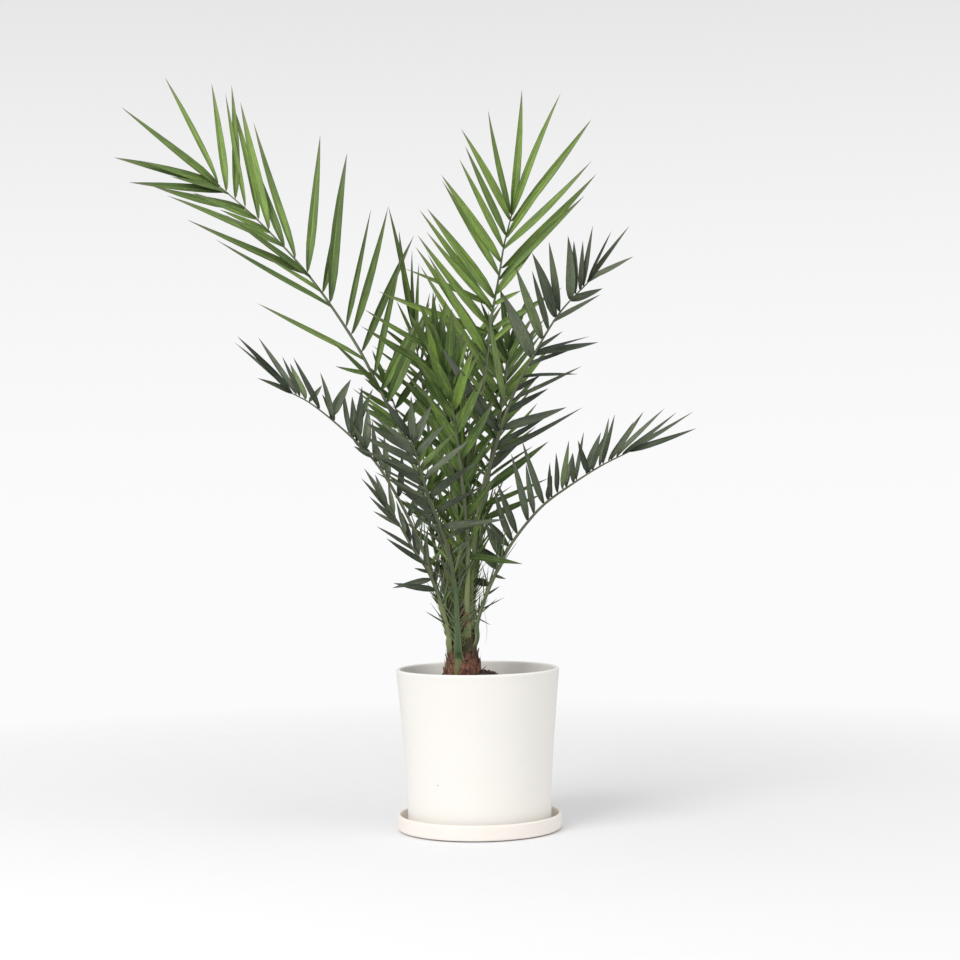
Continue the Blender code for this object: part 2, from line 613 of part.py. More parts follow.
def smooth_path(points, count):
    """count evenly spaced points on a smooth curve through the given points."""
    knots = np.array([tuple(p) for p in points], dtype=float)
    knots = np.vstack([2 * knots[0] - knots[1], knots, 2 * knots[-1] - knots[-2]])
    t = np.linspace(0.0, 1.0, 12, endpoint=False)[:, None]
    spans = []
    for a, b, c, d in zip(knots[:-3], knots[1:-2], knots[2:-1], knots[3:]):
        spans.append(0.5 * (2 * b + (c - a) * t + (2 * a - 5 * b + 4 * c - d) * t**2
                            + (3 * b - a - 3 * c + d) * t**3))
    fine = np.vstack(spans + [knots[-2]])
    along = np.concatenate([[0.0], np.cumsum(np.linalg.norm(np.diff(fine, axis=0), axis=1))])
    places = np.linspace(0.0, along[-1], count)
    return np.stack([np.interp(places, along, fine[:, axis]) for axis in range(3)], axis=1)


def midrib_path(frond):
    """From inside the stem, up past its side and on through the drawn places."""
    turn, height = frond["leaves_stem"]
    out = Vector((math.cos(math.radians(turn)), math.sin(math.radians(turn)), 0.0))
    radius = stem_radius(height)
    start = STEM_PLACE + out * (radius - STALK_SUNK) + Vector((0.0, 0.0, height))
    beside = STEM_PLACE + out * (radius + STALK_CLEAR) + Vector((0.0, 0.0, height + STALK_RISE))
    drawn = [seen_at(across, down, depth / 1000.0) for across, down, depth in frond["midrib"]]
    return smooth_path([start, beside] + drawn, PATH_POINTS)


def midrib_radius(share):
    """Radius at a share of the midrib's length: a stalk that narrows fast, then a slow taper."""
    if share < STALK_SHARE:
        return STALK_RADIUS + (MIDRIB_RADIUS - STALK_RADIUS) * share / STALK_SHARE
    rest = (share - STALK_SHARE) / (1.0 - STALK_SHARE)
    return MIDRIB_RADIUS + (MIDRIB_TIP_RADIUS - MIDRIB_RADIUS) * rest


def tube(name, path, radii, collection):
    """A closed tube along a path, with a radius at each point, as a mesh object."""
    curve = bpy.data.curves.new(name, "CURVE")
    curve.dimensions = "3D"
    curve.bevel_depth = 1.0
    curve.bevel_resolution = 1
    curve.use_fill_caps = True
    spline = curve.splines.new("POLY")
    spline.points.add(len(path) - 1)
    for point, place, radius in zip(spline.points, path, radii):
        point.co = (*place, 1.0)
        point.radius = radius
    drawn = bpy.data.objects.new(name + "_line", curve)
    collection.objects.link(drawn)
    evaluated = drawn.evaluated_get(bpy.context.evaluated_depsgraph_get())
    mesh = bpy.data.meshes.new_from_object(evaluated)
    made = bpy.data.objects.new(name, mesh)
    made.matrix_world = drawn.matrix_world
    bpy.data.objects.remove(drawn)
    bpy.data.curves.remove(curve)
    shape = bmesh.new()
    shape.from_mesh(mesh)
    bmesh.ops.remove_doubles(shape, verts=shape.verts, dist=0.00001)
    shape.to_mesh(mesh)
    shape.free()
    collection.objects.link(made)
    return made


# Corner numbers of a blade: foot 0, near edge, crease, edge and keel 1 to 4, far edges 5 and 6, tip 7
BLADE_SIDES = (
    (0, 2, 1), (0, 3, 2), (0, 4, 3), (0, 1, 4),
    (1, 2, 5), (5, 2, 7), (2, 3, 6), (2, 6, 7),
    (3, 4, 6), (6, 4, 7), (4, 1, 5), (4, 5, 7),
)


def blade(foot, tip, width, faces, extra=0.0):
    """Corners and faces of a closed, folded leaflet from foot to tip, grown by extra."""
    along = tip - foot
    forward = along.normalized()
    side = forward.cross(faces).normalized()
    front = side.cross(forward)
    half = width / 2 + extra
    thick = LEAFLET_THICKNESS / 2 + extra
    edge = side * half
    lift = front * (half * LEAFLET_FOLD)
    near = foot + along * LEAFLET_WIDE_FROM
    far = foot + along * LEAFLET_WIDE_TO
    slim = LEAFLET_NARROWING
    corners = [
        foot, near + edge + lift, near + front * thick, near - edge + lift, near - front * thick,
        far + (edge + lift) * slim, far - (edge - lift) * slim, tip,
    ]
    return corners, BLADE_SIDES


def box_of(corners):
    places = np.array([tuple(c) for c in corners])
    return places.min(axis=0), places.max(axis=0)


class Surroundings:
    """Everything that a new leaflet has to stay clear of, with the frond it belongs to.

    Leaflets of one frond meet at their feet, so between them only the outer stretches count.
    """

    def __init__(self):
        self.lows = []
        self.highs = []
        self.trees = []
        self.owners = []
        self.outer = []

    def add(self, corners, sides, owner, outer=False):
        low, high = box_of(corners)
        self.lows.append(low)
        self.highs.append(high)
        self.trees.append(BVHTree.FromPolygons(corners, sides))
        self.owners.append(owner)
        self.outer.append(outer)

    def near(self, corners):
        low, high = box_of(corners)
        return np.flatnonzero(np.all((np.array(self.lows) <= high) & (np.array(self.highs) >= low), axis=1))

    def blocks(self, corners, sides, owner, outer):
        """True if the shape meets the like of it: whole shapes of others, or its own frond's outer ones."""
        tree = BVHTree.FromPolygons(corners, sides)
        return any(
            self.outer[i] == outer and (self.owners[i] == owner) == outer and tree.overlap(self.trees[i])
            for i in self.near(corners)
        )


def free_place(wanted, taken):
    """The nearest place on the midrib that no other leaflet's foot has."""
    order = [wanted] + [wanted + step * way for step in range(1, 40) for way in (-1, 1)]
    place = next(p for p in order if 0 < p < PATH_POINTS - 2 and p not in taken)
    taken.add(place)
    return place


def listed_leaflets(frond, path, taken, rng):
    """(foot, tip, width) of each drawn leaflet, with its foot on the midrib."""
    shown = drawn_at(path)
    found = []
    for index, (foot_x, foot_y, tip_x, tip_y, width) in enumerate(frond.get("leaflets", ())):
        nearest = int(np.argmin(np.hypot(shown[:, 0] - foot_x, shown[:, 1] - foot_y)))
        nearest = free_place(nearest, taken)
        foot = Vector(path[nearest])
        before = shown[max(nearest - 5, 0)]
        after = shown[min(nearest + 5, len(shown) - 1)]
        run = after - before
        reach = (tip_x - foot_x, tip_y - foot_y)
        on_right = run[0] * reach[1] - run[1] * reach[0] > 0.0
        side = index % 2 if frond["alternate"] else int(on_right)
        gain = frond["depth_gain"][side] + rng.uniform(-DEPTH_SPREAD, DEPTH_SPREAD)
        depth = foot.y + gain * math.hypot(*reach) * DRAWING_STEP
        found.append((foot, seen_at(tip_x, tip_y, depth), width * DRAWING_STEP))
    return found


def paired_leaflets(frond, path, taken, rng):
    """(foot, tip, width) of evenly set leaflets on both sides, longest past the middle."""
    found = []
    if "pairs" not in frond:
        return found
    count, first, longest = frond["pairs"]
    for index in range(count):
        rest = index / (count - 1)
        middle = int((first + (PAIR_LAST - first) * rest) * (len(path) - 1))
        ahead = (Vector(path[min(middle + 6, len(path) - 1)]) - Vector(path[middle - 6])).normalized()
        across = ahead.cross(Vector((0.0, 0.0, 1.0))).normalized()
        upper = across.cross(ahead)
        wave = math.sin(math.pi * (PAIR_WAVE[0] + (PAIR_WAVE[1] - PAIR_WAVE[0]) * rest))
        length = longest * (PAIR_SHORTEST + (1.0 - PAIR_SHORTEST) * wave)
        for side in (-1.0, 1.0):
            foot = Vector(path[free_place(middle, taken)])
            spread = PAIR_SPREAD[0] + (PAIR_SPREAD[1] - PAIR_SPREAD[0]) * rest
            spread = math.radians(spread + rng.uniform(-PAIR_SPREAD_VARIES, PAIR_SPREAD_VARIES))
            lift = math.radians(PAIR_LIFT + rng.uniform(-PAIR_LIFT_VARIES, PAIR_LIFT_VARIES))
            out = across * (side * math.cos(lift)) + upper * math.sin(lift)
            aim = ahead * math.cos(spread) + out * math.sin(spread)
            tip = foot + aim * length * rng.uniform(*PAIR_LENGTH_VARIES)
            found.append((foot, tip, PAIR_WIDTH * rng.uniform(*PAIR_WIDTH_VARIES)))
    return found


def outer_stretch(foot, tip, width, faces, extra=0.0):
    return blade(foot.lerp(tip, OUTER_FROM), tip, width, faces, extra)


def place_leaflet(foot, tip, width, faces, around, owner):
    """The tip, moved along the line of sight or towards the foot until the leaflet is clear.

    Where it can't be clear of its own frond as well, it still has to be clear of the others.
    """
    for heeds_own in (True, False):
        for scale in SHORTER:
            for step in range(TIP_MOVES * 2 + 1):
                move = TIP_MOVE_STEP * ((step + 1) // 2) * (1 if step % 2 else -1)
                aim = foot + (tip - foot) * scale
                sight = aim - EYE
                moved = aim + sight * (move / sight.y)
                if around.blocks(*blade(foot, moved, width, faces, LEAF_GAP), owner, False):
                    continue
                outer = outer_stretch(foot, moved, width, faces, LEAF_GAP)
                if heeds_own and around.blocks(*outer, owner, True):
                    continue
                return moved
    return None


def mesh_sides(mesh):
    return [v.co.copy() for v in mesh.vertices], [tuple(p.vertices) for p in mesh.polygons]


def make_frond(frond, rib, path, around, materials, collection, cutters):
    """One leaf: its midrib, joined with its leaflets."""
    name = frond["name"]
    rng = random.Random(name)
    faces = Vector(frond["faces"]).normalized()
    taken = set()
    wanted = listed_leaflets(frond, path, taken, rng) + paired_leaflets(frond, path, taken, rng)
    shapes = bmesh.new()
    for foot, tip, width in wanted:
        turn = rng.uniform(-LEAFLET_TWIST, LEAFLET_TWIST)
        front = Matrix.Rotation(turn, 3, (tip - foot).normalized()) @ faces
        placed = place_leaflet(foot, tip, width, front, around, name)
        if placed is None:
            continue
        corners, sides = blade(foot, placed, width, front)
        around.add(corners, sides, name)
        around.add(*outer_stretch(foot, placed, width, front), name, outer=True)
        made = [shapes.verts.new(c) for c in corners]
        for side in sides:
            shapes.faces.new([made[i] for i in side])
    bmesh.ops.recalc_face_normals(shapes, faces=shapes.faces)
    mesh = bpy.data.meshes.new(name + "_leaflets")
    shapes.to_mesh(mesh)
    shapes.free()
    leaflets = guide(add_object(name + "_leaflets", mesh, cutters))
    material = materials["leaf_bright" if name in BRIGHT_FRONDS else "leaf_dark"]
    rib.data.materials.append(material)
    collection.objects.link(rib)
    join = rib.modifiers.new("leaflets", "BOOLEAN")
    join.operation = "UNION"
    join.use_self = True
    join.object = leaflets


def main():
    clear_objects()
    parts = new_collection("potted_date_palm")
    cutters = new_collection("cutters")
    rooms = new_collection("stalk_rooms")

    make_saucer(parts)
    make_pot(parts)
    stem = make_stem(parts, cutters)
    cutter = guide(turned("stem_room", stem_profile(SEAT_GAP), STEM_STEPS, cutters, None))
    cutter.location = STEM_PLACE
    make_soil(parts, cutter)

    materials = {
        "leaf_bright": finish("leaf_bright", COLOURS["leaf_bright"], 0.5),
        "leaf_dark": finish("leaf_dark", COLOURS["leaf_dark"], 0.5),
    }
    around = Surroundings()
    ribs = []
    shares = [i / (MIDRIB_POINTS - 1) for i in range(MIDRIB_POINTS)]
    radii = [midrib_radius(share) for share in shares]
    for frond in FRONDS:
        path = midrib_path(frond)
        picked = [path[round(share * (len(path) - 1))] for share in shares]
        rib = tube(frond["name"], picked, radii, cutters)
        cutters.objects.unlink(rib)
        around.add(*mesh_sides(rib.data), frond["name"])
        ribs.append((frond, rib, path))
        guide(tube(frond["name"] + "_room", picked, [r + SEAT_GAP for r in radii], rooms))
    seats = stem.modifiers.new("stalk_sockets", "BOOLEAN")
    seats.operation = "DIFFERENCE"
    seats.operand_type = "COLLECTION"
    seats.collection = rooms

    foot = STEM_PLACE + Vector((0.0, 0.0, STEM_WIDTHS[-1][0] + SEAT_GAP))
    spear_points = [foot] + [seen_at(x, y, depth / 1000.0) for x, y, depth in SPEAR_PATH]
    spear_path = smooth_path(spear_points, SPEAR_POINTS)
    given = np.linspace(0.0, 1.0, len(SPEAR_RADII))
    spear_radii = np.interp(np.linspace(0.0, 1.0, SPEAR_POINTS), given, SPEAR_RADII)
    spear = tube("spear_leaf", spear_path, spear_radii, parts)
    spear.data.materials.append(materials["leaf_bright"])
    around.add(*mesh_sides(spear.data), "spear_leaf")

    for frond, rib, path in ribs:
        make_frond(frond, rib, path, around, materials, parts, cutters)

    for made in parts.objects:
        made.data.shade_smooth()
        made.data.set_sharp_from_angle(angle=math.radians(35))


main()
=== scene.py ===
import math

import bmesh
import bpy
import mathutils
import numpy as np
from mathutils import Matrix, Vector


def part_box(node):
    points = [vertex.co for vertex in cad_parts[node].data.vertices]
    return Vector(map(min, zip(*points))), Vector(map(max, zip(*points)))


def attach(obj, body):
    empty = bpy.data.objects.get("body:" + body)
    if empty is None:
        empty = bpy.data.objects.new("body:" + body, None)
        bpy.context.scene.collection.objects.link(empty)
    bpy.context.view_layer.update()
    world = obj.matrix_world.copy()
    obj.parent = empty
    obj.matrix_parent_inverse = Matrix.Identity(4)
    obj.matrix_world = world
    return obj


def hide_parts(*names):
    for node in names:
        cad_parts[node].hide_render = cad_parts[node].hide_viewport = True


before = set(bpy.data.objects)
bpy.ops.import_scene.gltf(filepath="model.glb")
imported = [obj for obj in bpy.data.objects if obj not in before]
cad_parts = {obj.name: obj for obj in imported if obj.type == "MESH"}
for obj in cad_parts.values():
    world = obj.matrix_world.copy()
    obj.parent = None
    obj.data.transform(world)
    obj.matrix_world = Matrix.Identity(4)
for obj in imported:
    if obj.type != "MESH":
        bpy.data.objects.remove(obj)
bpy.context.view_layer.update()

print("frame loaded with", len(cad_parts), "nodes")


# small helpers for arrays of points

def unit(v):  # each vector divided by its own length
    return v / np.maximum(np.linalg.norm(v, axis=-1, keepdims=True), 1e-9)


def waveNoise(points, scale, seed):
    # soft noise in -1..1: the mean of eight sine waves that run in random directions through space
    rng = np.random.default_rng(seed)
    ways = unit(rng.normal(size=(8, 3))) * scale * rng.uniform(0.7, 1.6, (8, 1))
    starts = rng.uniform(0.0, 6.28, 8)
    return np.sin(points @ ways.T + starts).mean(axis=-1) * 2.0


def loftMany(rings, first, last):
    # rings has the shape (pieces, rings, points in a ring, 3): each piece is a closed skin over its
    # rings, with one pole point before the first ring and one after the last
    pieces, count, size, _ = rings.shape
    span = count * size + 2
    points = np.concatenate([first[:, None], rings.reshape(pieces, -1, 3), last[:, None]], axis=1)
    here = 1 + np.arange(count * size).reshape(count, size)
    after = np.roll(here, -1, axis=1)
    quads = np.stack([here[:-1], after[:-1], after[1:], here[1:]], axis=-1).reshape(-1, 4)
    fans = np.concatenate([
        np.stack([np.zeros(size, int), after[0], here[0]], axis=-1),
        np.stack([np.full(size, span - 1), here[-1], after[-1]], axis=-1),
    ])
    shift = (np.arange(pieces) * span)[:, None, None]
    return points.reshape(-1, 3), (quads[None] + shift).reshape(-1, 4), (fans[None] + shift).reshape(-1, 3)


def perPoint(values, count, size):  # one value a ring, spread to loftMany's order of points
    rings = np.repeat(values, size, axis=-1)
    return np.concatenate([values[:, :1], rings, values[:, -1:]], axis=1).reshape(-1)


def makePiece(name, lofts, materials, sharp=40.0):
    # lofts is a list of dictionaries: points, quads, tris, and optional uv, tone and material number
    points, faces, uvs, tones, slots = [], [], [], [], []
    start = 0
    for loft in lofts:
        size = len(loft["points"])
        points.append(loft["points"])
        faces += (loft["quads"] + start).tolist() + (loft["tris"] + start).tolist()
        uvs.append(loft.get("uv", np.zeros((size, 2))))
        tones.append(np.broadcast_to(loft.get("tone", 0.5), size))
        slots += [loft.get("slot", 0)] * (len(loft["quads"]) + len(loft["tris"]))
        start += size
    mesh = bpy.data.meshes.new(name)
    mesh.from_pydata(np.concatenate(points).tolist(), [], faces)
    mesh.polygons.foreach_set("material_index", slots)
    uvs, tones = np.concatenate(uvs), np.concatenate(tones)
    corner = np.empty(len(mesh.loops), int)
    mesh.loops.foreach_get("vertex_index", corner)
    mesh.uv_layers.new(name="surface").data.foreach_set("uv", uvs[corner].astype(np.float32).ravel())
    mesh.attributes.new("tone", "FLOAT", "POINT").data.foreach_set("value", tones.astype(np.float32))
    shell = bmesh.new()
    shell.from_mesh(mesh)
    bmesh.ops.recalc_face_normals(shell, faces=shell.faces)
    shell.to_mesh(mesh)
    shell.free()
    mesh.shade_smooth()
    mesh.set_sharp_from_angle(angle=math.radians(sharp))
    made = bpy.data.objects.new(name, mesh)
    bpy.context.scene.collection.objects.link(made)
    for material in materials:
        mesh.materials.append(material)
    return made


def revolve(profile, steps, middle=(0.0, 0.0)):
    # a profile of (radius, height) points turned round the upright line at middle; it starts and
    # ends on that line, where its poles are
    profile = np.array(profile, float)
    turn = np.linspace(0.0, 2.0 * np.pi, steps, endpoint=False)
    r, z = profile[1:-1, 0][:, None], profile[1:-1, 1][:, None]
    ring = np.stack([middle[0] + r * np.cos(turn), middle[1] + r * np.sin(turn), z + 0.0 * turn], axis=-1)
    ends = [np.array([[middle[0], middle[1], h]]) for h in (profile[0, 1], profile[-1, 1])]
    points, quads, tris = loftMany(ring[None], *ends)
    return {"points": points, "quads": quads, "tris": tris}


def roundEdge(r, z, size, fromDegrees, toDegrees, count=6):  # points of an arc in a profile
    a = np.radians(np.linspace(fromDegrees, toDegrees, count))
    return [(r + size * c, z + size * s) for c, s in zip(np.cos(a), np.sin(a))]


def smoothPath(knots, count):
    # evenly spaced points on the curve that runs through the knots, each span a cubic that leaves
    # a knot along the line between that knot's two neighbours
    knots = np.array(knots, float)
    knots = np.vstack([2 * knots[0] - knots[1], knots, 2 * knots[-1] - knots[-2]])
    a, b, c, d = (knots[i:len(knots) - 3 + i, None] for i in range(4))
    t = np.linspace(0.0, 1.0, 12, endpoint=False)[None, :, None]
    spans = 0.5 * (2 * b + (c - a) * t + (2 * a - 5 * b + 4 * c - d) * t**2 + (3 * b - a - 3 * c + d) * t**3)
    fine = np.vstack([spans.reshape(-1, 3), knots[-2]])
    along = np.concatenate([[0.0], np.cumsum(np.linalg.norm(np.diff(fine, axis=0), axis=1))])
    places = np.linspace(0.0, along[-1], count)
    return np.stack([np.interp(places, along, fine[:, axis]) for axis in range(3)], axis=1)


# shader groups, each built once and placed in several materials

def newGroup(name, inputs, outputs):
    group = bpy.data.node_groups.new(name, "ShaderNodeTree")
    for socket, kind, value in inputs:
        made = group.interface.new_socket(socket, in_out="INPUT", socket_type=kind)
        if value is not None:
            made.default_value = value
    for socket, kind in outputs:
        group.interface.new_socket(socket, in_out="OUTPUT", socket_type=kind)
    return group, group.nodes.new("NodeGroupInput"), group.nodes.new("NodeGroupOutput")


def addNode(tree, kind, links=None, **settings):
    # a node with its settings; links maps an input's name or number to a socket or a fixed value
    node = tree.nodes.new(kind)
    for key, value in settings.items():
        setattr(node, key, value)
    for key, value in (links or {}).items():
        if isinstance(value, bpy.types.NodeSocket):
            tree.links.new(value, node.inputs[key])
        else:
            node.inputs[key].default_value = value
    return node


def mathNode(tree, operation, a, b=0.0, c=0.0):
    return addNode(tree, "ShaderNodeMath", {0: a, 1: b, 2: c}, operation=operation).outputs[0]


def spread(tree, value, low, high, toLow=0.0, toHigh=1.0):  # maps low..high to toLow..toHigh, clamped
    return addNode(tree, "ShaderNodeMapRange", {0: value, 1: low, 2: high, 3: toLow, 4: toHigh}).outputs[0]


def mixColour(tree, mask, a, b, blend="MIX"):
    node = addNode(tree, "ShaderNodeMix", data_type="RGBA", blend_type=blend)
    for key, value in ((0, mask), (6, a), (7, b)):
        if isinstance(value, bpy.types.NodeSocket):
            tree.links.new(value, node.inputs[key])
        else:
            node.inputs[key].default_value = value
    return node.outputs[2]


def buildPatches():  # cloudy patches: noise with its contrast set by Low and High
    group, given, result = newGroup("cloudyPatches", [
        ("Vector", "NodeSocketVector", None), ("Scale", "NodeSocketFloat", 20.0),
        ("Low", "NodeSocketFloat", 0.4), ("High", "NodeSocketFloat", 0.6),
    ], [("Mask", "NodeSocketFloat")])
    noise = addNode(group, "ShaderNodeTexNoise", {"Vector": given.outputs["Vector"], "Scale": given.outputs["Scale"],
                                                  "Detail": 3.0})
    mask = spread(group, noise.outputs[0], given.outputs["Low"], given.outputs["High"])
    group.links.new(mask, result.inputs["Mask"])
    return group


def buildSpecks():  # scattered round specks of one size, in a share of the cells of a cell pattern
    group, given, result = newGroup("scatteredSpecks", [
        ("Vector", "NodeSocketVector", None), ("Scale", "NodeSocketFloat", 60.0),
        ("Size", "NodeSocketFloat", 0.1), ("Share", "NodeSocketFloat", 0.1),
    ], [("Mask", "NodeSocketFloat")])
    cells = addNode(group, "ShaderNodeTexVoronoi", {"Vector": given.outputs["Vector"], "Scale": given.outputs["Scale"]})
    dot = spread(group, cells.outputs["Distance"], given.outputs["Size"], 0.0)
    split = addNode(group, "ShaderNodeSeparateColor", {0: cells.outputs["Color"]})
    chosen = mathNode(group, "LESS_THAN", split.outputs[0], given.outputs["Share"])
    group.links.new(mathNode(group, "MULTIPLY", dot, chosen), result.inputs["Mask"])
    return group


def buildLines():
    # fine lines along a leaf or stalk: noise read across the piece in fine steps and along it in long ones
    group, given, result = newGroup("fineLines", [
        ("Across", "NodeSocketFloat", 0.0), ("Along", "NodeSocketFloat", 0.0),
        ("Count", "NodeSocketFloat", 14.0), ("Tone", "NodeSocketFloat", 0.5),
    ], [("Lines", "NodeSocketFloat"), ("Streaks", "NodeSocketFloat"), ("Middle", "NodeSocketFloat"),
        ("Margin", "NodeSocketFloat")])
    across, along = given.outputs["Across"], given.outputs["Along"]
    place = addNode(group, "ShaderNodeCombineXYZ", {
        0: mathNode(group, "MULTIPLY", across, given.outputs["Count"]),
        1: mathNode(group, "MULTIPLY", along, 14.0),
        2: mathNode(group, "MULTIPLY", given.outputs["Tone"], 37.0),
    })
    noise = addNode(group, "ShaderNodeTexNoise", {"Vector": place.outputs[0], "Scale": 1.0, "Detail": 1.0})
    broad = addNode(group, "ShaderNodeTexNoise", {
        "Vector": addNode(group, "ShaderNodeMapping", {"Vector": place.outputs[0], "Scale": (0.28, 0.30, 1.0)}).outputs[0],
        "Scale": 1.0, "Detail": 1.0,
    })
    offMiddle = mathNode(group, "ABSOLUTE", mathNode(group, "SUBTRACT", across, 0.5))
    group.links.new(spread(group, noise.outputs[0], 0.36, 0.64), result.inputs["Lines"])
    group.links.new(spread(group, broad.outputs[0], 0.46, 0.66), result.inputs["Streaks"])
    group.links.new(spread(group, offMiddle, 0.055, 0.015), result.inputs["Middle"])
    group.links.new(spread(group, offMiddle, 0.38, 0.5), result.inputs["Margin"])
    return group


patches, specks, lines = buildPatches(), buildSpecks(), buildLines()


def useGroup(tree, group, **values):
    node = tree.nodes.new("ShaderNodeGroup")
    node.node_tree = group
    for key, value in values.items():
        if isinstance(value, bpy.types.NodeSocket):
            tree.links.new(value, node.inputs[key])
        else:
            node.inputs[key].default_value = value
    return node


def newMaterial(name, roughness, coat=0.0, coatRoughness=0.1, specular=0.5):
    material = bpy.data.materials.new(name)
    material.use_nodes = True
    tree = material.node_tree
    shader = tree.nodes["Principled BSDF"]
    shader.inputs["Roughness"].default_value = roughness
    shader.inputs["Coat Weight"].default_value = coat
    shader.inputs["Coat Roughness"].default_value = coatRoughness
    shader.inputs["Specular IOR Level"].default_value = specular
    return material, tree, shader


def addBump(tree, shader, height, strength, distance):
    bump = addNode(tree, "ShaderNodeBump", {"Height": height, "Strength": strength, "Distance": distance})
    tree.links.new(bump.outputs[0], shader.inputs["Normal"])


def objectPlace(tree):
    return addNode(tree, "ShaderNodeTexCoord").outputs["Object"]


# the drawing that the fronds follow: the front view in steps, its middle and foot, its lean, the eye

drawing = {"step": 0.001411, "middle": 480.0, "foot": 827.4, "lean": math.radians(0.85), "eye": (0.0, -2.68, 0.465)}


def seenAt(across, down, depth):  # the point, depth in millimetres, that shows at a place on the drawing
    right = (across - drawing["middle"]) * drawing["step"]
    up = (drawing["foot"] - down) * drawing["step"]
    x = right * math.cos(drawing["lean"]) + up * math.sin(drawing["lean"])
    z = up * math.cos(drawing["lean"]) - right * math.sin(drawing["lean"])
    eye, y = drawing["eye"], depth / 1000.0
    nearness = (y - eye[1]) / -eye[1]
    return np.array([x * nearness, y, eye[2] + (z - eye[2]) * nearness])


# pot and saucer, one clay and one satin glaze

potLook = {
    "rimRadius": 0.115, "footRadius": 0.101, "wall": 0.006, "floor": 0.008,
    "lip": 0.0024, "footEdge": 0.0035, "flareFrom": 0.030, "flareEase": 0.3,
    "steps": 144, "glaze": (0.838, 0.815, 0.768, 1.0), "shade": (0.775, 0.748, 0.700, 1.0), "roughness": 0.42,
    # marks in the glaze: place on the drawing, radius in metres, and whether it is dark
    "marks": [((438, 785, -85), 0.0010, True), ((436, 790, -85), 0.0009, False), ((440, 788, -86), 0.0006, False),
              ((526, 766, -82), 0.0013, False), ((527, 769, -82), 0.0006, False), ((535, 794, -69), 0.0014, False)],
}
saucerLook = {
    "radius": 0.115, "wall": 0.004, "floor": 0.006, "edge": 0.002, "undercut": 0.0015, "footRing": 0.106,
    "steps": 144, "glaze": (0.840, 0.785, 0.728, 1.0), "shade": (0.775, 0.715, 0.655, 1.0), "roughness": 0.45, "marks": [],
}


def glazeMaterial(name, look):
    # pale satin glaze: faint turning rings, cloudy tint, a few iron specks and pinholes
    material, tree, shader = newMaterial(name, look["roughness"], 0.12, 0.35)
    place = objectPlace(tree)
    cloud = useGroup(tree, patches, Vector=place, Scale=9.0, Low=0.35, High=0.7).outputs[0]
    colour = mixColour(tree, mathNode(tree, "MULTIPLY", cloud, 0.22), look["glaze"], look["shade"])
    iron = useGroup(tree, specks, Vector=place, Scale=42.0, Size=0.045, Share=0.045).outputs[0]
    colour = mixColour(tree, mathNode(tree, "MULTIPLY", iron, 0.85), colour, (0.16, 0.10, 0.06, 1.0))
    pin = useGroup(tree, specks, Vector=place, Scale=75.0, Size=0.06, Share=0.03).outputs[0]
    colour = mixColour(tree, mathNode(tree, "MULTIPLY", pin, 0.5), colour, (0.97, 0.96, 0.93, 1.0))
    for spot, size, dark in look["marks"]:
        away = addNode(tree, "ShaderNodeVectorMath", {0: place, 1: tuple(seenAt(*spot))}, operation="DISTANCE").outputs["Value"]
        mask = spread(tree, away, size, size * 0.5, 0.0, 0.9)
        colour = mixColour(tree, mask, colour, (0.05, 0.04, 0.03, 1.0) if dark else (0.99, 0.99, 0.98, 1.0))
    tree.links.new(colour, shader.inputs["Base Color"])
    split = addNode(tree, "ShaderNodeSeparateXYZ", {0: place})
    rings = addNode(tree, "ShaderNodeTexNoise", {
        "Vector": addNode(tree, "ShaderNodeCombineXYZ", {2: split.outputs[2]}).outputs[0], "Scale": 210.0, "Detail": 2.0,
    }).outputs[0]
    orange = addNode(tree, "ShaderNodeTexNoise", {"Vector": place, "Scale": 380.0, "Detail": 1.0}).outputs[0]
    height = mathNode(tree, "MULTIPLY_ADD", rings, 1.0, mathNode(tree, "MULTIPLY", orange, 0.25))
    height = mathNode(tree, "SUBTRACT", height, mathNode(tree, "MULTIPLY", pin, 1.5))
    addBump(tree, shader, height, 0.22, 0.0006)
    rough = spread(tree, cloud, 0.0, 1.0, look["roughness"] - 0.04, look["roughness"] + 0.06)
    tree.links.new(rough, shader.inputs["Roughness"])
    return material


def potRadius(z):
    # outer radius: foot radius plus the flare, a hyperbola that is flat at the foot and straight at the rim
    low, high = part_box("pot")
    ease = potLook["flareEase"]
    share = np.clip((z - potLook["flareFrom"]) / (high.z - potLook["flareFrom"]), 0.0, 1.0)
    flare = (np.hypot(share, ease) - ease) / (np.hypot(1.0, ease) - ease)
    return potLook["footRadius"] + (potLook["rimRadius"] - potLook["footRadius"]) * flare


def makePot():
    # outline from the inner floor up the wall, over the round lip, down the outside and under the foot
    low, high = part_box("pot")
    look = potLook
    floorZ = low.z + look["floor"]
    inside = np.linspace(floorZ + 0.012, high.z - 0.006, 14)
    outside = np.linspace(high.z - 0.0045, low.z + look["footEdge"], 26)
    innerFoot = float(potRadius(floorZ)) - look["wall"]
    outline = [(0.0, floorZ), (innerFoot - 0.012, floorZ)]
    outline += roundEdge(innerFoot - 0.012, floorZ + 0.012, 0.012, -90, 0, 5)
    outline += [(float(potRadius(z)) - look["wall"], z) for z in inside]
    outline += roundEdge(look["rimRadius"] - look["wall"] + look["lip"], high.z - look["lip"], look["lip"], 180, 100, 4)
    outline += roundEdge(look["rimRadius"] - look["lip"], high.z - look["lip"], look["lip"], 80, 0, 5)
    outline += [(float(potRadius(z)), z) for z in outside]
    outline += roundEdge(look["footRadius"] - look["footEdge"], low.z + look["footEdge"], look["footEdge"], -15, -90, 4)
    outline += [(look["footRadius"] - 0.012, low.z), (0.0, low.z)]
    pot = makePiece("glazedPot", [revolve(outline, look["steps"])], [glazeMaterial("potGlaze", look)], 50.0)
    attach(pot, "root")
    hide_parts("pot")


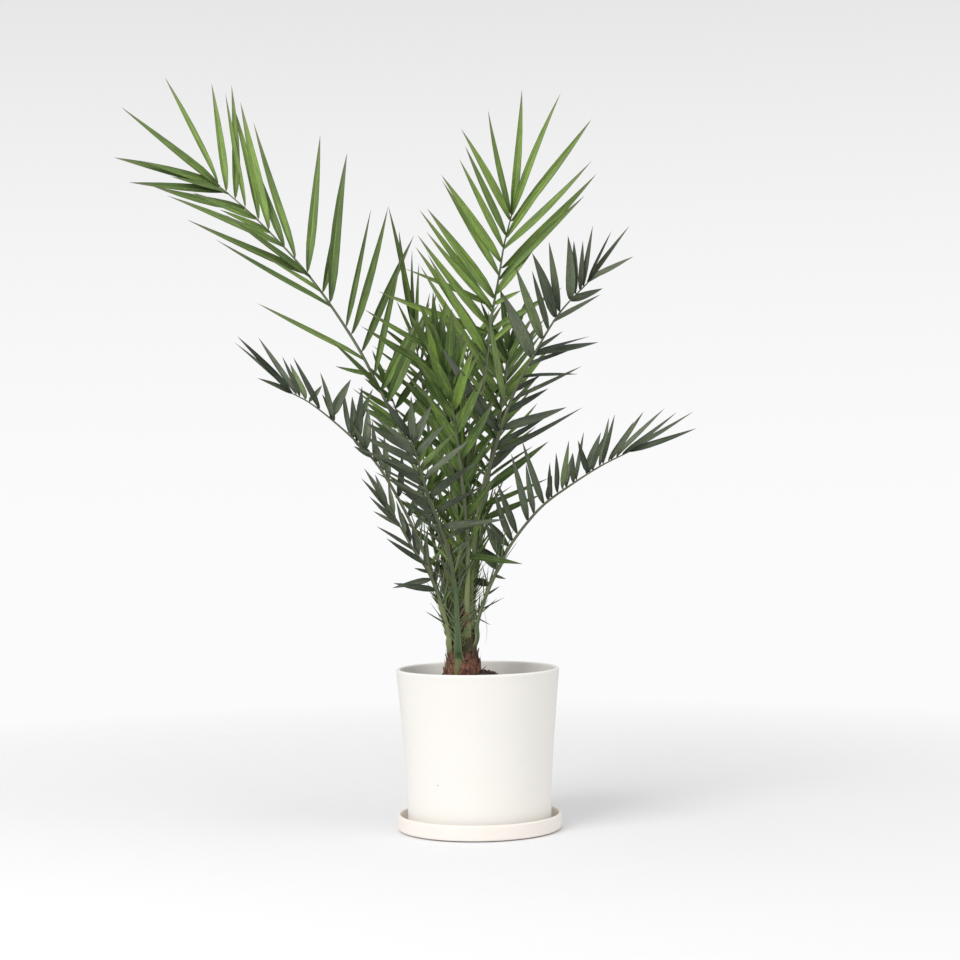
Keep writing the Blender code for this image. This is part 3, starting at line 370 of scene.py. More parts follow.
def makeSaucer():
    # outline from the dish's floor, up the inner wall, over the lip, down outside and under
    low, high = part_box("saucer")
    look = saucerLook
    inner = look["radius"] - look["wall"]
    lip = look["wall"] / 2.0
    outline = [(0.0, look["floor"]), (0.05, look["floor"]), (0.09, look["floor"]), (inner - look["edge"], look["floor"])]
    outline += roundEdge(inner - look["edge"], look["floor"] + look["edge"], look["edge"], -80, 0, 5)
    outline += [(inner, z) for z in np.linspace(look["floor"] + look["edge"], high.z - lip, 6)[1:-1]]
    outline += roundEdge(look["radius"] - lip, high.z - lip, lip, 180, 0, 9)
    outline += [(look["radius"], z) for z in np.linspace(high.z - lip, look["edge"] + look["undercut"], 6)[1:-1]]
    outline += roundEdge(look["radius"] - look["edge"], look["edge"] + look["undercut"], look["edge"], 0, -90, 5)
    outline += [(look["footRing"] + 0.001, look["undercut"]), (look["footRing"], 0.0004), (look["footRing"] - 0.0006, low.z)]
    outline += [(0.05, low.z), (0.0, low.z)]
    saucer = makePiece("glazedSaucer", [revolve(outline, look["steps"])], [glazeMaterial("saucerGlaze", look)], 50.0)
    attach(saucer, "root")
    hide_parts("saucer")


makePot()
makeSaucer()
print("pot and saucer made")


# soil: a heap round the stem, crumbs on it, and a dry twig

soilLook = {
    "wallHeight": 0.2005, "heap": 0.0195, "heapRadius": 0.044, "depth": 0.030, "roughnessOfGround": 0.0016,
    "crumbs": 620, "crumbSize": (0.0010, 0.0034), "dark": (0.022, 0.013, 0.009, 1.0), "light": (0.085, 0.050, 0.030, 1.0),
    "clods": 0.0150, "clodsAt": -0.0490,
    "twigs": [[(0.002, -0.010, 0.2180), (0.007, -0.012, 0.2235), (0.0125, -0.013, 0.2300)],
              [(0.000, -0.012, 0.2200), (0.005, -0.014, 0.2225), (0.0095, -0.016, 0.2270)]],
}
stemPlace = np.array([-0.021, 0.0, 0.0])


def soilHeight(x, y):  # wall height, plus the heap, a bell curve of the fourth power, plus soft noise
    r = np.hypot(x, y)
    heap = soilLook["heap"] * np.exp(-((r / soilLook["heapRadius"]) ** 4))
    clods = soilLook["clods"] * np.exp(-(((x - soilLook["clodsAt"]) ** 2 + y**2) / 0.0085**2))
    flat = np.stack([x, y, 0.0 * x], axis=-1)
    rough = waveNoise(flat, 240.0, 5) + 0.6 * waveNoise(flat, 620.0, 6)
    return soilLook["wallHeight"] + heap + clods + soilLook["roughnessOfGround"] * (rough - 0.5)


def soilMaterial():
    # dark crumbly earth: patches of two browns, pale dry grains, and a coarse bump
    material, tree, shader = newMaterial("pottingSoil", 0.95)
    place = objectPlace(tree)
    tone = addNode(tree, "ShaderNodeAttribute", attribute_name="tone").outputs["Fac"]
    cloud = useGroup(tree, patches, Vector=place, Scale=130.0, Low=0.35, High=0.65).outputs[0]
    mask = mathNode(tree, "MULTIPLY", mathNode(tree, "ADD", cloud, tone), 0.5)
    colour = mixColour(tree, mask, soilLook["dark"], soilLook["light"])
    grain = useGroup(tree, specks, Vector=place, Scale=420.0, Size=0.30, Share=0.10).outputs[0]
    colour = mixColour(tree, mathNode(tree, "MULTIPLY", grain, 0.6), colour, (0.22, 0.15, 0.10, 1.0))
    tree.links.new(colour, shader.inputs["Base Color"])
    fine = addNode(tree, "ShaderNodeTexNoise", {"Vector": place, "Scale": 700.0, "Detail": 4.0}).outputs[0]
    addBump(tree, shader, mathNode(tree, "ADD", fine, cloud), 0.9, 0.0012)
    return material


def thread(points, radius, sides=4, rings=8, slot=0):
    # a thin tube along the curve through a few points, pointed at both ends
    path = smoothPath(points, rings + 2)
    ahead = unit(np.gradient(path, axis=0))
    across = unit(np.cross(ahead, [0.31, 0.87, 0.38]))
    other = np.cross(ahead, across)
    turn = np.linspace(0.0, 2.0 * np.pi, sides, endpoint=False)
    size = radius * np.sin(np.pi * np.linspace(0.12, 0.92, rings)) ** 0.5
    ring = path[1:-1, None] + size[:, None, None] * (
        across[1:-1, None] * np.cos(turn)[:, None] + other[1:-1, None] * np.sin(turn)[:, None])
    made, quads, tris = loftMany(ring[None], path[None, 0], path[None, -1])
    return {"points": made, "quads": quads, "tris": tris, "slot": slot}


def makeSoil():
    low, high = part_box("soil")
    edge = high.x - 0.0002
    turn = np.linspace(0.0, 2.0 * np.pi, 120, endpoint=False)
    radii = np.concatenate([np.linspace(0.004, edge, 46), [edge, edge * 0.98, 0.03]])
    x, y = radii[:, None] * np.cos(turn), radii[:, None] * np.sin(turn)
    z = soilHeight(x, y)
    z[-3:] = (soilLook["wallHeight"] - np.array([0.4, 1.0, 1.0]) * soilLook["depth"])[:, None]
    ring = np.stack([x, y, z], axis=-1)
    top = np.array([[0.0, 0.0, soilLook["wallHeight"] + soilLook["heap"]]])
    points, quads, tris = loftMany(ring[None], top, np.array([[0.0, 0.0, z[-1, 0]]]))
    material = soilMaterial()
    ground = makePiece("soilGround", [{"points": points, "quads": quads, "tris": tris, "tone": 0.35}], [material], 60.0)
    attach(ground, "root")
    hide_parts("soil")

    # crumbs: five-sided lumps of three rings, each turned, stretched and sunk at random
    rng = np.random.default_rng(11)
    count = soilLook["crumbs"]
    share = rng.random(count)
    reach = np.where(share < 0.45, rng.normal(0.034, 0.009, count), 0.008 + 0.092 * np.sqrt(rng.random(count)))
    around = rng.uniform(0.0, 2.0 * np.pi, count)
    middle = np.stack([stemPlace[0] * (share < 0.45) + reach * np.cos(around), reach * np.sin(around)], axis=1)
    far = np.hypot(middle[:, 0], middle[:, 1]) > edge - 0.005
    middle[far] *= ((edge - 0.006) / np.hypot(middle[far, 0], middle[far, 1]))[:, None]
    size = rng.uniform(0.0, 1.0, count) ** 2 * (soilLook["crumbSize"][1] - soilLook["crumbSize"][0]) + soilLook["crumbSize"][0]
    level = np.array([-0.6, 0.05, 0.62])
    turn = np.linspace(0.0, 2.0 * np.pi, 5, endpoint=False) + 0.6 * np.arange(3)[:, None]
    wide = np.sqrt(1.0 - level**2)[:, None]
    lump = np.stack([wide * np.cos(turn), wide * np.sin(turn), level[:, None] + 0.0 * turn], axis=-1)
    lump = lump[None] * rng.uniform(0.75, 1.25, (count, 3, 5, 1)) * rng.uniform(0.7, 1.3, (count, 1, 1, 3))
    spin = rng.uniform(0.0, 2.0 * np.pi, count)[:, None, None]
    turned = lump.copy()
    turned[..., 0] = lump[..., 0] * np.cos(spin) - lump[..., 1] * np.sin(spin)
    turned[..., 1] = lump[..., 0] * np.sin(spin) + lump[..., 1] * np.cos(spin)
    centre = np.column_stack([middle, soilHeight(middle[:, 0], middle[:, 1]) + size * 0.25])
    rings = centre[:, None, None] + turned * size[:, None, None, None]
    up = np.array([0.0, 0.0, 1.0]) * size[:, None]
    points, quads, tris = loftMany(rings, centre - up * 0.9, centre + up * 0.9)
    tone = np.repeat(rng.random(count), 17)
    crumbs = {"points": points, "quads": quads, "tris": tris, "tone": tone}
    loose = makePiece("soilCrumbs", [crumbs] + [thread(twig, 0.0008, 4, 6) for twig in soilLook["twigs"]], [material], 45.0)
    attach(loose, "root")


makeSoil()
print("soil made")


# stem: bark, the bases of old leaves on it, and fibres

stemLook = {
    "widths": [(0.150, 0.000), (0.154, 0.015), (0.172, 0.0235), (0.200, 0.0258), (0.222, 0.0250), (0.240, 0.0205),
               (0.262, 0.0174), (0.285, 0.0138), (0.305, 0.0105), (0.330, 0.0066), (0.352, 0.0044), (0.362, 0.000)],
    "oldBases": 46, "basesFrom": 0.204, "basesTo": 0.272, "baseLength": 0.017, "baseHalfAngle": 0.50, "standOff": 0.0026,
    "fibres": 130, "fibreRadius": 0.00026, "sheaths": 44,
    "sheathRadii": [(0.262, 0.0190), (0.305, 0.0188), (0.330, 0.0190), (0.360, 0.0200), (0.390, 0.0200),
                    (0.420, 0.0180), (0.460, 0.0120)],
    "sheathBrown": (0.190, 0.140, 0.062, 1.0), "sheathGreen": (0.180, 0.215, 0.080, 1.0),
    "barkDark": (0.045, 0.022, 0.014, 1.0), "barkRed": (0.26, 0.095, 0.060, 1.0), "fibreTan": (0.30, 0.21, 0.11, 1.0),
    "mossGreen": (0.070, 0.090, 0.028, 1.0), "fibreBrown": (0.15, 0.075, 0.035, 1.0), "fibreStraw": (0.42, 0.34, 0.20, 1.0),
    "tuft": 60, "tuftAt": (463.5, 618.0, -25.0), "tuftSpread": np.array([2.4, 3.4, 1.8]),
    "tuftDark": (0.085, 0.028, 0.018, 1.0), "tuftRed": (0.36, 0.135, 0.090, 1.0),
}


def stemRadius(z):
    heights, radii = np.array(stemLook["widths"]).T
    return np.interp(z, heights, radii)


def barkMaterial():
    # fibrous bark: streaks that run up the stem, red-brown below and green-brown among the leaf stalks
    material, tree, shader = newMaterial("palmBark", 0.85)
    place = objectPlace(tree)
    split = addNode(tree, "ShaderNodeSeparateXYZ", {0: place})
    streakPlace = addNode(tree, "ShaderNodeMapping", {"Vector": place, "Scale": (1.0, 1.0, 0.22)}).outputs[0]
    streak = addNode(tree, "ShaderNodeTexNoise", {"Vector": streakPlace, "Scale": 420.0, "Detail": 4.0}).outputs[0]
    cloud = useGroup(tree, patches, Vector=place, Scale=70.0, Low=0.38, High=0.62).outputs[0]
    tone = addNode(tree, "ShaderNodeAttribute", attribute_name="tone").outputs["Fac"]
    red = mixColour(tree, spread(tree, streak, 0.36, 0.62), stemLook["barkDark"], stemLook["barkRed"])
    tan = mathNode(tree, "MULTIPLY", spread(tree, streak, 0.55, 0.72), tone)
    red = mixColour(tree, tan, red, stemLook["fibreTan"])
    green = mixColour(tree, spread(tree, streak, 0.40, 0.66), stemLook["barkDark"], stemLook["mossGreen"])
    height = mathNode(tree, "ADD", split.outputs[2], mathNode(tree, "MULTIPLY", cloud, 0.012))
    colour = mixColour(tree, spread(tree, height, 0.238, 0.258), red, green)
    tree.links.new(colour, shader.inputs["Base Color"])
    addBump(tree, shader, mathNode(tree, "MULTIPLY_ADD", cloud, 0.4, streak), 0.9, 0.0010)
    return material


def sheathMaterial():
    # torn sheath: brown and yellow-green, streaked along the stem, with straw-coloured threads
    material, tree, shader = newMaterial("leafSheath", 0.8, specular=0.3)
    place = objectPlace(tree)
    tone = addNode(tree, "ShaderNodeAttribute", attribute_name="tone").outputs["Fac"]
    drawnOut = addNode(tree, "ShaderNodeMapping", {"Vector": place, "Scale": (1.0, 1.0, 0.12)}).outputs[0]
    streak = addNode(tree, "ShaderNodeTexNoise", {"Vector": drawnOut, "Scale": 520.0, "Detail": 3.0}).outputs[0]
    cloud = useGroup(tree, patches, Vector=place, Scale=60.0, Low=0.38, High=0.62).outputs[0]
    mask = spread(tree, mathNode(tree, "ADD", cloud, tone), 0.3, 1.5)
    colour = mixColour(tree, mask, stemLook["sheathBrown"], stemLook["sheathGreen"])
    colour = mixColour(tree, spread(tree, streak, 0.52, 0.72, 0.0, 0.8), colour, stemLook["fibreTan"])
    colour = mixColour(tree, spread(tree, streak, 0.46, 0.30, 0.0, 0.9), colour, stemLook["barkDark"])
    tree.links.new(colour, shader.inputs["Base Color"])
    addBump(tree, shader, streak, 0.9, 0.0012)
    return material


def fibreMaterial(name, dark, light):
    # dry fibres: two browns, mixed thread by thread and along each one
    material, tree, shader = newMaterial(name, 0.8)
    place = objectPlace(tree)
    tone = addNode(tree, "ShaderNodeAttribute", attribute_name="tone").outputs["Fac"]
    cloud = useGroup(tree, patches, Vector=place, Scale=160.0, Low=0.35, High=0.65).outputs[0]
    mask = mathNode(tree, "MULTIPLY", mathNode(tree, "ADD", cloud, tone), 0.5)
    tree.links.new(mixColour(tree, mask, dark, light), shader.inputs["Base Color"])
    addBump(tree, shader, cloud, 0.4, 0.0003)
    return material


def makeStem():
    # bark: the stem's outline turned round, pushed out by noise drawn out along the stem
    z = np.linspace(0.1545, 0.3600, 74)
    turn = np.linspace(0.0, 2.0 * np.pi, 96, endpoint=False)
    ring = np.stack([np.cos(turn) + 0.0 * z[:, None], np.sin(turn) + 0.0 * z[:, None], z[:, None] + 0.0 * turn], axis=-1)
    drawnOut = ring * np.array([0.02, 0.02, 0.30])
    push = 1.0 + 0.045 * waveNoise(drawnOut, 260.0, 21) + 0.03 * waveNoise(drawnOut, 620.0, 22)
    ring[..., :2] *= (stemRadius(z)[:, None] * push)[..., None]
    ring += stemPlace
    ends = [stemPlace[None] + np.array([[0.0, 0.0, h]]) for h in (0.150, 0.362)]
    points, quads, tris = loftMany(ring[None], *ends)
    bark, fibre = barkMaterial(), fibreMaterial("dryFibre", stemLook["fibreBrown"], stemLook["fibreStraw"])
    stem = makePiece("stemBark", [{"points": points, "quads": quads, "tris": tris, "tone": 0.2}], [bark], 60.0)
    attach(stem, "root")
    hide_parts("stem")

    # old leaf bases: shields on the stem in a spiral of the golden angle, each narrowing upwards and
    # standing off at its torn top; a ring runs over the front from side to side and back behind it
    rng = np.random.default_rng(31)
    count = stemLook["oldBases"]
    order = np.arange(count)
    up = np.array([0.0, 0.2, 0.42, 0.64, 0.84, 1.0])
    side = np.array([-1.0, -0.55, 0.0, 0.55, 1.0, 0.55, 0.0, -0.55])
    front = np.array([0.15, 0.8, 1.0, 0.8, 0.15, -0.5, -0.6, -0.5])
    foot = stemLook["basesFrom"] + (stemLook["basesTo"] - stemLook["basesFrom"]) * order / (count - 1)
    length = stemLook["baseLength"] * rng.uniform(0.8, 1.25, count)
    torn = rng.uniform(-0.12, 0.12, (count, 1, 8)) * up[None, :, None] ** 3
    half = stemLook["baseHalfAngle"] * (1.0 - 0.62 * up) * rng.uniform(0.85, 1.15, (count, 1))
    angle = (order * math.radians(137.5))[:, None, None] + half[..., None] * side
    rise = foot[:, None, None] + length[:, None, None] * (up[None, :, None] * (1.0 - 0.12 * side**2) + torn)
    off = stemLook["standOff"] * (0.25 + up**2) * rng.uniform(0.6, 1.5, (count, 1))
    thick = 0.0011 * (1.0 - 0.45 * up)
    reach = stemRadius(rise) + off[..., None] + thick[None, :, None] * front
    reach = reach + 0.0003 * waveNoise(np.stack([angle * 3, rise * 400, reach * 0], axis=-1), 3.0, 33)
    rings = np.stack([reach * np.cos(angle), reach * np.sin(angle), rise], axis=-1) + stemPlace
    points, quads, tris = loftMany(rings, rings[:, 0].mean(axis=1), rings[:, -1].mean(axis=1))
    tone = np.repeat(rng.random(count), len(up) * 8 + 2)
    bases = makePiece("oldLeafBases", [{"points": points, "quads": quads, "tris": tris, "tone": tone}], [bark], 45.0)
    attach(bases, "root")

    # sheaths: long thin shields among the leaf stalks above the stem, torn at their tops
    count = stemLook["sheaths"]
    order = np.arange(count)
    heights, radii = np.array(stemLook["sheathRadii"]).T
    foot = rng.uniform(0.262, 0.325, count)
    length = rng.uniform(0.050, 0.125, count)
    up = np.linspace(0.0, 1.0, 9)
    half = rng.uniform(0.25, 0.50, (count, 1)) * (1.0 - 0.75 * up)
    torn = rng.uniform(-0.16, 0.16, (count, 1, 8)) * up[None, :, None] ** 3
    angle = (order * math.radians(137.5))[:, None, None] + half[..., None] * side
    rise = foot[:, None, None] + length[:, None, None] * (up[None, :, None] + torn)
    reach = np.interp(rise, heights, radii) * rng.uniform(0.45, 1.0, (count, 1, 1)) + 0.0007 * front
    reach = reach + 0.0005 * waveNoise(np.stack([angle * 3, rise * 200, reach * 0], axis=-1), 3.0, 35)
    rings = np.stack([reach * np.cos(angle), reach * np.sin(angle), rise], axis=-1) + stemPlace
    rings[..., 0] -= 0.09 * (rise - 0.262).clip(0.0)
    points, quads, tris = loftMany(rings, rings[:, 0].mean(axis=1), rings[:, -1].mean(axis=1))
    tone = np.repeat(rng.random(count), len(up) * 8 + 2)
    sheath = sheathMaterial()
    torn = makePiece("tornSheaths", [{"points": points, "quads": quads, "tris": tris, "tone": tone}], [sheath], 45.0)
    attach(torn, "root")

    # fibres: thin threads that climb the stem at a slant and come loose at their upper ends
    count = stemLook["fibres"]
    start, climb = rng.uniform(0.208, 0.285, count), rng.uniform(0.008, 0.032, count)
    angle, slant = rng.uniform(0.0, 2.0 * np.pi, count), rng.normal(0.0, 0.55, count)
    lofts = []
    for i in range(count):
        t = np.linspace(0.0, 1.0, 5)
        a, h = angle[i] + slant[i] * t, start[i] + climb[i] * t
        r = stemRadius(h) + 0.0022 + 0.0045 * rng.random() * t**2
        way = np.stack([r * np.cos(a), r * np.sin(a), h], axis=1) + stemPlace
        loft = thread(way, stemLook["fibreRadius"] * rng.uniform(0.7, 1.5), 3, 6)
        loft["tone"] = rng.random()
        lofts.append(loft)
    hanging = [seenAt(483, 604, -10), seenAt(486, 621, -14), seenAt(487, 632, -14), seenAt(485, 645, -12)]
    lofts.append(thread(hanging, 0.0003, 3, 8))
    fibres = makePiece("stemFibres", lofts, [fibre], 60.0)
    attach(fibres, "root")

    # a tuft of red-brown sheath fibre beside the front stalk
    lofts = []
    for i in range(stemLook["tuft"]):
        across, down, depth = rng.normal(0.0, 1.0, 3) * stemLook["tuftSpread"] + stemLook["tuftAt"]
        slant, reach = rng.normal(0.0, 2.6), rng.uniform(4.0, 9.0)
        way = [seenAt(across - slant, down + reach, depth + 3), seenAt(across, down, depth), seenAt(across + slant, down - reach, depth + 1)]
        loft = thread(way, 0.00075 * rng.uniform(0.7, 1.5), 3, 5)
        loft["tone"] = rng.random()
        lofts.append(loft)
    redFibre = fibreMaterial("redFibre", stemLook["tuftDark"], stemLook["tuftRed"])
    tuft = makePiece("sheathTuft", lofts, [redFibre], 60.0)
    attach(tuft, "root")


makeStem()
print("stem made")


# fronds: for each, where it leaves the stem (degrees, height) and its line on the drawing
# (across, down, depth in millimetres)

frondLines = {
    "frond_left_high": {
        "leavesStem": (142, 0.289),
        "line": [(456, 600, 5), (446, 555, 9), (435, 520, 12), (424, 487, 17), (405, 441, 30),
            (378, 385, 48), (352, 337, 68), (308, 274, 95), (258, 220, 125), (216, 183, 150)],
    },
    "frond_right_high": {
        "leavesStem": (86, 0.3),
        "line": [(463, 600, 12), (464, 560, 17), (467, 500, 28), (475, 440, 42), (485, 370, 64),
            (491, 320, 80), (499, 276, 95), (504, 245, 106), (512, 213, 118)],
    },
    "frond_right_middle": {
        "leavesStem": (318, 0.272),
        "line": [(470, 600, -15), (473, 560, -19), (477, 520, -25), (484, 485, -32),
            (493, 455, -40), (502, 425, -50), (515, 390, -62), (535, 352, -76), (560, 312, -90),
            (590, 280, -105)],
    },
    "frond_right_low": {
        "leavesStem": (342, 0.25),
        "line": [(477, 622, -9), (487, 592, -12), (498, 568, -16), (510, 545, -20),
            (527, 522, -25), (545, 503, -30), (570, 485, -36), (600, 466, -42), (630, 451, -48)],
    },
    "frond_left_middle": {
        "leavesStem": (190, 0.256),
        "line": [(447, 630, -6), (431, 570, -15), (410, 520, -26), (388, 480, -40),
            (370, 455, -50), (342, 428, -62), (312, 404, -72), (290, 392, -80)],
    },
    "frond_front_left": {
        "leavesStem": (257, 0.232),
        "line": [(458, 648, -27), (456, 600, -33), (451, 562, -48), (445, 540, -64),
            (437, 518, -88), (429, 498, -116), (423, 478, -150), (417, 458, -190),
            (411, 440, -232)],
    },
    "frond_left_low": {
        "leavesStem": (214, 0.242),
        "line": [(449, 632, -15), (440, 600, -24), (429, 572, -34), (413, 548, -44),
            (399, 524, -53), (386, 504, -62)],
    },
    "frond_left_inner": {
        "leavesStem": (170, 0.269),
        "line": [(447, 600, 4), (438, 560, 12), (429, 520, 24), (419, 480, 40), (408, 445, 58),
            (397, 412, 78), (388, 388, 98)],
    },
    "frond_back_left": {
        "leavesStem": (118, 0.272),
        "line": [(459, 600, 21), (453, 560, 34), (445, 520, 52), (437, 480, 74), (430, 440, 98),
            (425, 400, 122), (419, 362, 146), (414, 334, 164)],
    },
    "frond_right_inner": {
        "leavesStem": (26, 0.286),
        "line": [(470, 600, 10), (475, 560, 18), (481, 515, 29), (487, 480, 41), (493, 450, 55),
            (499, 420, 71), (505, 385, 92), (509, 350, 114)],
    },
    "frond_centre": {
        "leavesStem": (262, 0.298),
        "line": [(462, 600, -13), (460, 560, -15), (457, 520, -16), (453, 480, -17),
            (448, 440, -17), (443, 400, -16), (440, 370, -14), (438, 347, -12)],
    },
    "frond_front_middle": {
        "leavesStem": (290, 0.262),
        "line": [(467, 600, -29), (468, 560, -42), (466, 520, -56), (462, 480, -68),
            (457, 440, -78), (452, 405, -86), (448, 374, -92)],
    },
    "frond_back_middle": {
        "leavesStem": (86, 0.252),
        "line": [(465, 600, 30), (464, 560, 50), (462, 520, 78), (461, 480, 112), (462, 440, 152),
            (463, 405, 196), (465, 375, 244), (468, 350, 290)],
    },
    "frond_back_right": {
        "leavesStem": (54, 0.262),
        "line": [(473, 600, 24), (478, 560, 42), (483, 520, 66), (488, 480, 95), (494, 440, 128),
            (500, 405, 164), (505, 375, 202), (508, 352, 240)],
    },
}

brightFronds = ("frond_left_high", "frond_right_high", "frond_centre", "frond_right_inner", "frond_front_middle")

frondLook = {
    "stalkRadius": 0.0044, "rachisRadius": 0.0035, "middleRadius": 0.0026, "endRadius": 0.0011, "stalkShare": 0.16,
    "sunk": 0.004, "clear": 0.0025, "rise": 0.018, "clasp": 1.0, "claspLength": 0.024, "rings": 84,
    "spinePairs": 10, "spineFrom": 0.022, "spineTo": 0.16, "spineLength": (0.014, 0.040), "spineRadius": 0.0008,
    "lowPairs": 12, "lowFrom": 0.07, "lowTo": 0.36, "lowLength": (0.022, 0.064), "lowHalf": (0.0008, 0.0019),
    "slimShare": (0.14, 0.24),
}
leafletLook = {
    "wideFrom": 0.24, "wideTo": 0.60, "narrowing": 0.82,  # where the frame's blades have their corners
    "fold": 0.34, "foldAtFoot": 0.95, "thickness": 0.00055, "twist": 0.30, "bow": 0.010, "fullness": 1.08,
}
brightLook = {
    "deep": (0.066, 0.115, 0.030, 1.0), "light": (0.205, 0.305, 0.082, 1.0), "streak": (0.250, 0.400, 0.055, 1.0),
    "darkLinesAndEdgeShade": (0.050, 0.075, 0.028, 1.0), "vein": (0.33, 0.41, 0.14, 1.0), "dry": (0.30, 0.20, 0.08, 1.0),
    "point": (0.175, 0.165, 0.115, 1.0), "roughness": 0.50, "limeShare": 0.15,
}
# leaflets in the crown's heart: a deeper green, partly the young leaves' own colour and partly painted shade of the
# crown's inside
heartGreenAndShadeLook = {
    "deep": (0.020, 0.046, 0.008, 1.0), "light": (0.125, 0.200, 0.048, 1.0), "streak": (0.175, 0.275, 0.036, 1.0),
    "darkLinesAndEdgeShade": (0.020, 0.036, 0.010, 1.0), "vein": (0.18, 0.25, 0.08, 1.0), "dry": (0.22, 0.16, 0.06, 1.0),
    "point": (0.120, 0.120, 0.070, 1.0), "roughness": 0.50, "limeShare": 0.45,
}
# dark fronds: the pale grey-green streak colour is a painted sheen, the light colour partly painted sheen, the
# near-black deep colour partly painted shade
darkShadeAndSheenLook = {
    "deep": (0.018, 0.027, 0.017, 1.0), "light": (0.185, 0.220, 0.145, 1.0), "streak": (0.170, 0.205, 0.100, 1.0),
    "darkLinesAndEdgeShade": (0.017, 0.026, 0.018, 1.0), "vein": (0.15, 0.19, 0.11, 1.0), "dry": (0.24, 0.17, 0.08, 1.0),
    "point": (0.105, 0.110, 0.090, 1.0), "roughness": 0.46, "limeShare": 0.55,
}
stalkLook = {
    "foot": (0.17, 0.145, 0.045, 1.0), "young": (0.240, 0.275, 0.115, 1.0), "grown": (0.045, 0.095, 0.036, 1.0),
    "rachis": (0.078, 0.092, 0.052, 1.0), "pale": (0.34, 0.36, 0.20, 1.0), "spine": (0.23, 0.26, 0.135, 1.0),
    "roughness": 0.48,
}
# how light the leaflets of a frond are, and its stalk
leafTones = {
    "frond_left_high": 0.30, "frond_right_high": 0.78, "frond_right_middle": 0.38, "frond_right_low": 0.36,
    "frond_left_middle": 0.45, "frond_front_left": 0.50, "frond_left_low": 0.36, "frond_left_inner": 0.55,
    "frond_back_left": 0.50, "frond_right_inner": 0.45, "frond_centre": 0.44, "frond_front_middle": 0.44,
    "frond_back_middle": 0.42, "frond_back_right": 0.50,
}
stalkTones = {"frond_front_left": 0.95, "frond_right_low": 0.75, "frond_left_low": 0.25, "frond_left_middle": 0.2}
heartFronds = ("frond_centre", "frond_front_middle", "frond_back_middle", "frond_back_left", "frond_right_inner",
               "frond_left_inner", "frond_back_right")


frontFootLook = {"top": 0.248, "bottom": 0.2125, "turn": (256.0, 250.0), "stand": 0.0022, "half": 0.0046, "tone": 0.85}


def leafMaterial(name, look):
    # leaf blade: two greens mixed by leaflet and in patches, the mix partly painted light; brighter streaks,
    # a painted sheen in the dark look; fine lines along it, a pale middle vein, darker margins that are painted
    # shade of the fold, a darker foot, a greyer outer end and a dry point
    material, tree, shader = newMaterial(name, look["roughness"], 0.05, 0.40, 0.22)
    flat = addNode(tree, "ShaderNodeSeparateXYZ", {0: addNode(tree, "ShaderNodeUVMap", uv_map="surface").outputs[0]})
    across, along = flat.outputs[0], flat.outputs[1]
    tone = addNode(tree, "ShaderNodeAttribute", attribute_name="tone").outputs["Fac"]
    grain = useGroup(tree, lines, Across=across, Along=along, Count=15.0, Tone=tone)
    cloud = useGroup(tree, patches, Vector=objectPlace(tree), Scale=24.0, Low=0.36, High=0.64).outputs[0]
    # the tone carries painted light, so this mix of deep and light green and the lime on the lightest leaflets is
    # partly painted light and shade
    mask = mathNode(tree, "MULTIPLY_ADD", cloud, 0.25, mathNode(tree, "MULTIPLY", tone, 0.75))
    colour = mixColour(tree, mask, look["deep"], look["light"])
    colour = mixColour(tree, spread(tree, tone, 0.86, 0.97, 0.0, look["limeShare"]), colour, brightLook["streak"])
    # brighter streaks: yellow-green in the bright and heart looks, a painted sheen in the dark look
    bright = mathNode(tree, "MULTIPLY", grain.outputs["Streaks"], spread(tree, tone, 0.15, 0.7, 0.15, 0.85))
    colour = mixColour(tree, bright, colour, look["streak"])
    colour = mixColour(tree, mathNode(tree, "MULTIPLY", grain.outputs["Lines"], 0.34), colour, look["darkLinesAndEdgeShade"])
    # painted shade: the margins of each leaflet darkened for the shade of its folded halves
    colour = mixColour(tree, mathNode(tree, "MULTIPLY", grain.outputs["Margin"], 0.75), colour, look["darkLinesAndEdgeShade"])
    colour = mixColour(tree, mathNode(tree, "MULTIPLY", grain.outputs["Middle"], 0.50), colour, look["vein"])
    colour = mixColour(tree, spread(tree, along, 0.16, 0.02, 0.0, 0.60), colour, look["darkLinesAndEdgeShade"])
    colour = mixColour(tree, spread(tree, along, 0.70, 0.98, 0.0, 0.80), colour, look["point"])
    point = mathNode(tree, "MULTIPLY", spread(tree, along, 0.955, 1.0), spread(tree, tone, 0.35, 0.75))
    colour = mixColour(tree, point, colour, look["dry"])
    fleck = useGroup(tree, specks, Vector=objectPlace(tree), Scale=170.0, Size=0.22, Share=0.02).outputs[0]
    colour = mixColour(tree, mathNode(tree, "MULTIPLY", fleck, 0.5), colour, look["dry"])
    tree.links.new(colour, shader.inputs["Base Color"])
    height = mathNode(tree, "ADD", grain.outputs["Lines"], mathNode(tree, "MULTIPLY", grain.outputs["Middle"], 1.2))
    addBump(tree, shader, height, 0.35, 0.0004)
    rough = spread(tree, grain.outputs["Lines"], 0.0, 1.0, look["roughness"] - 0.06, look["roughness"] + 0.08)
    tree.links.new(rough, shader.inputs["Roughness"])
    return material


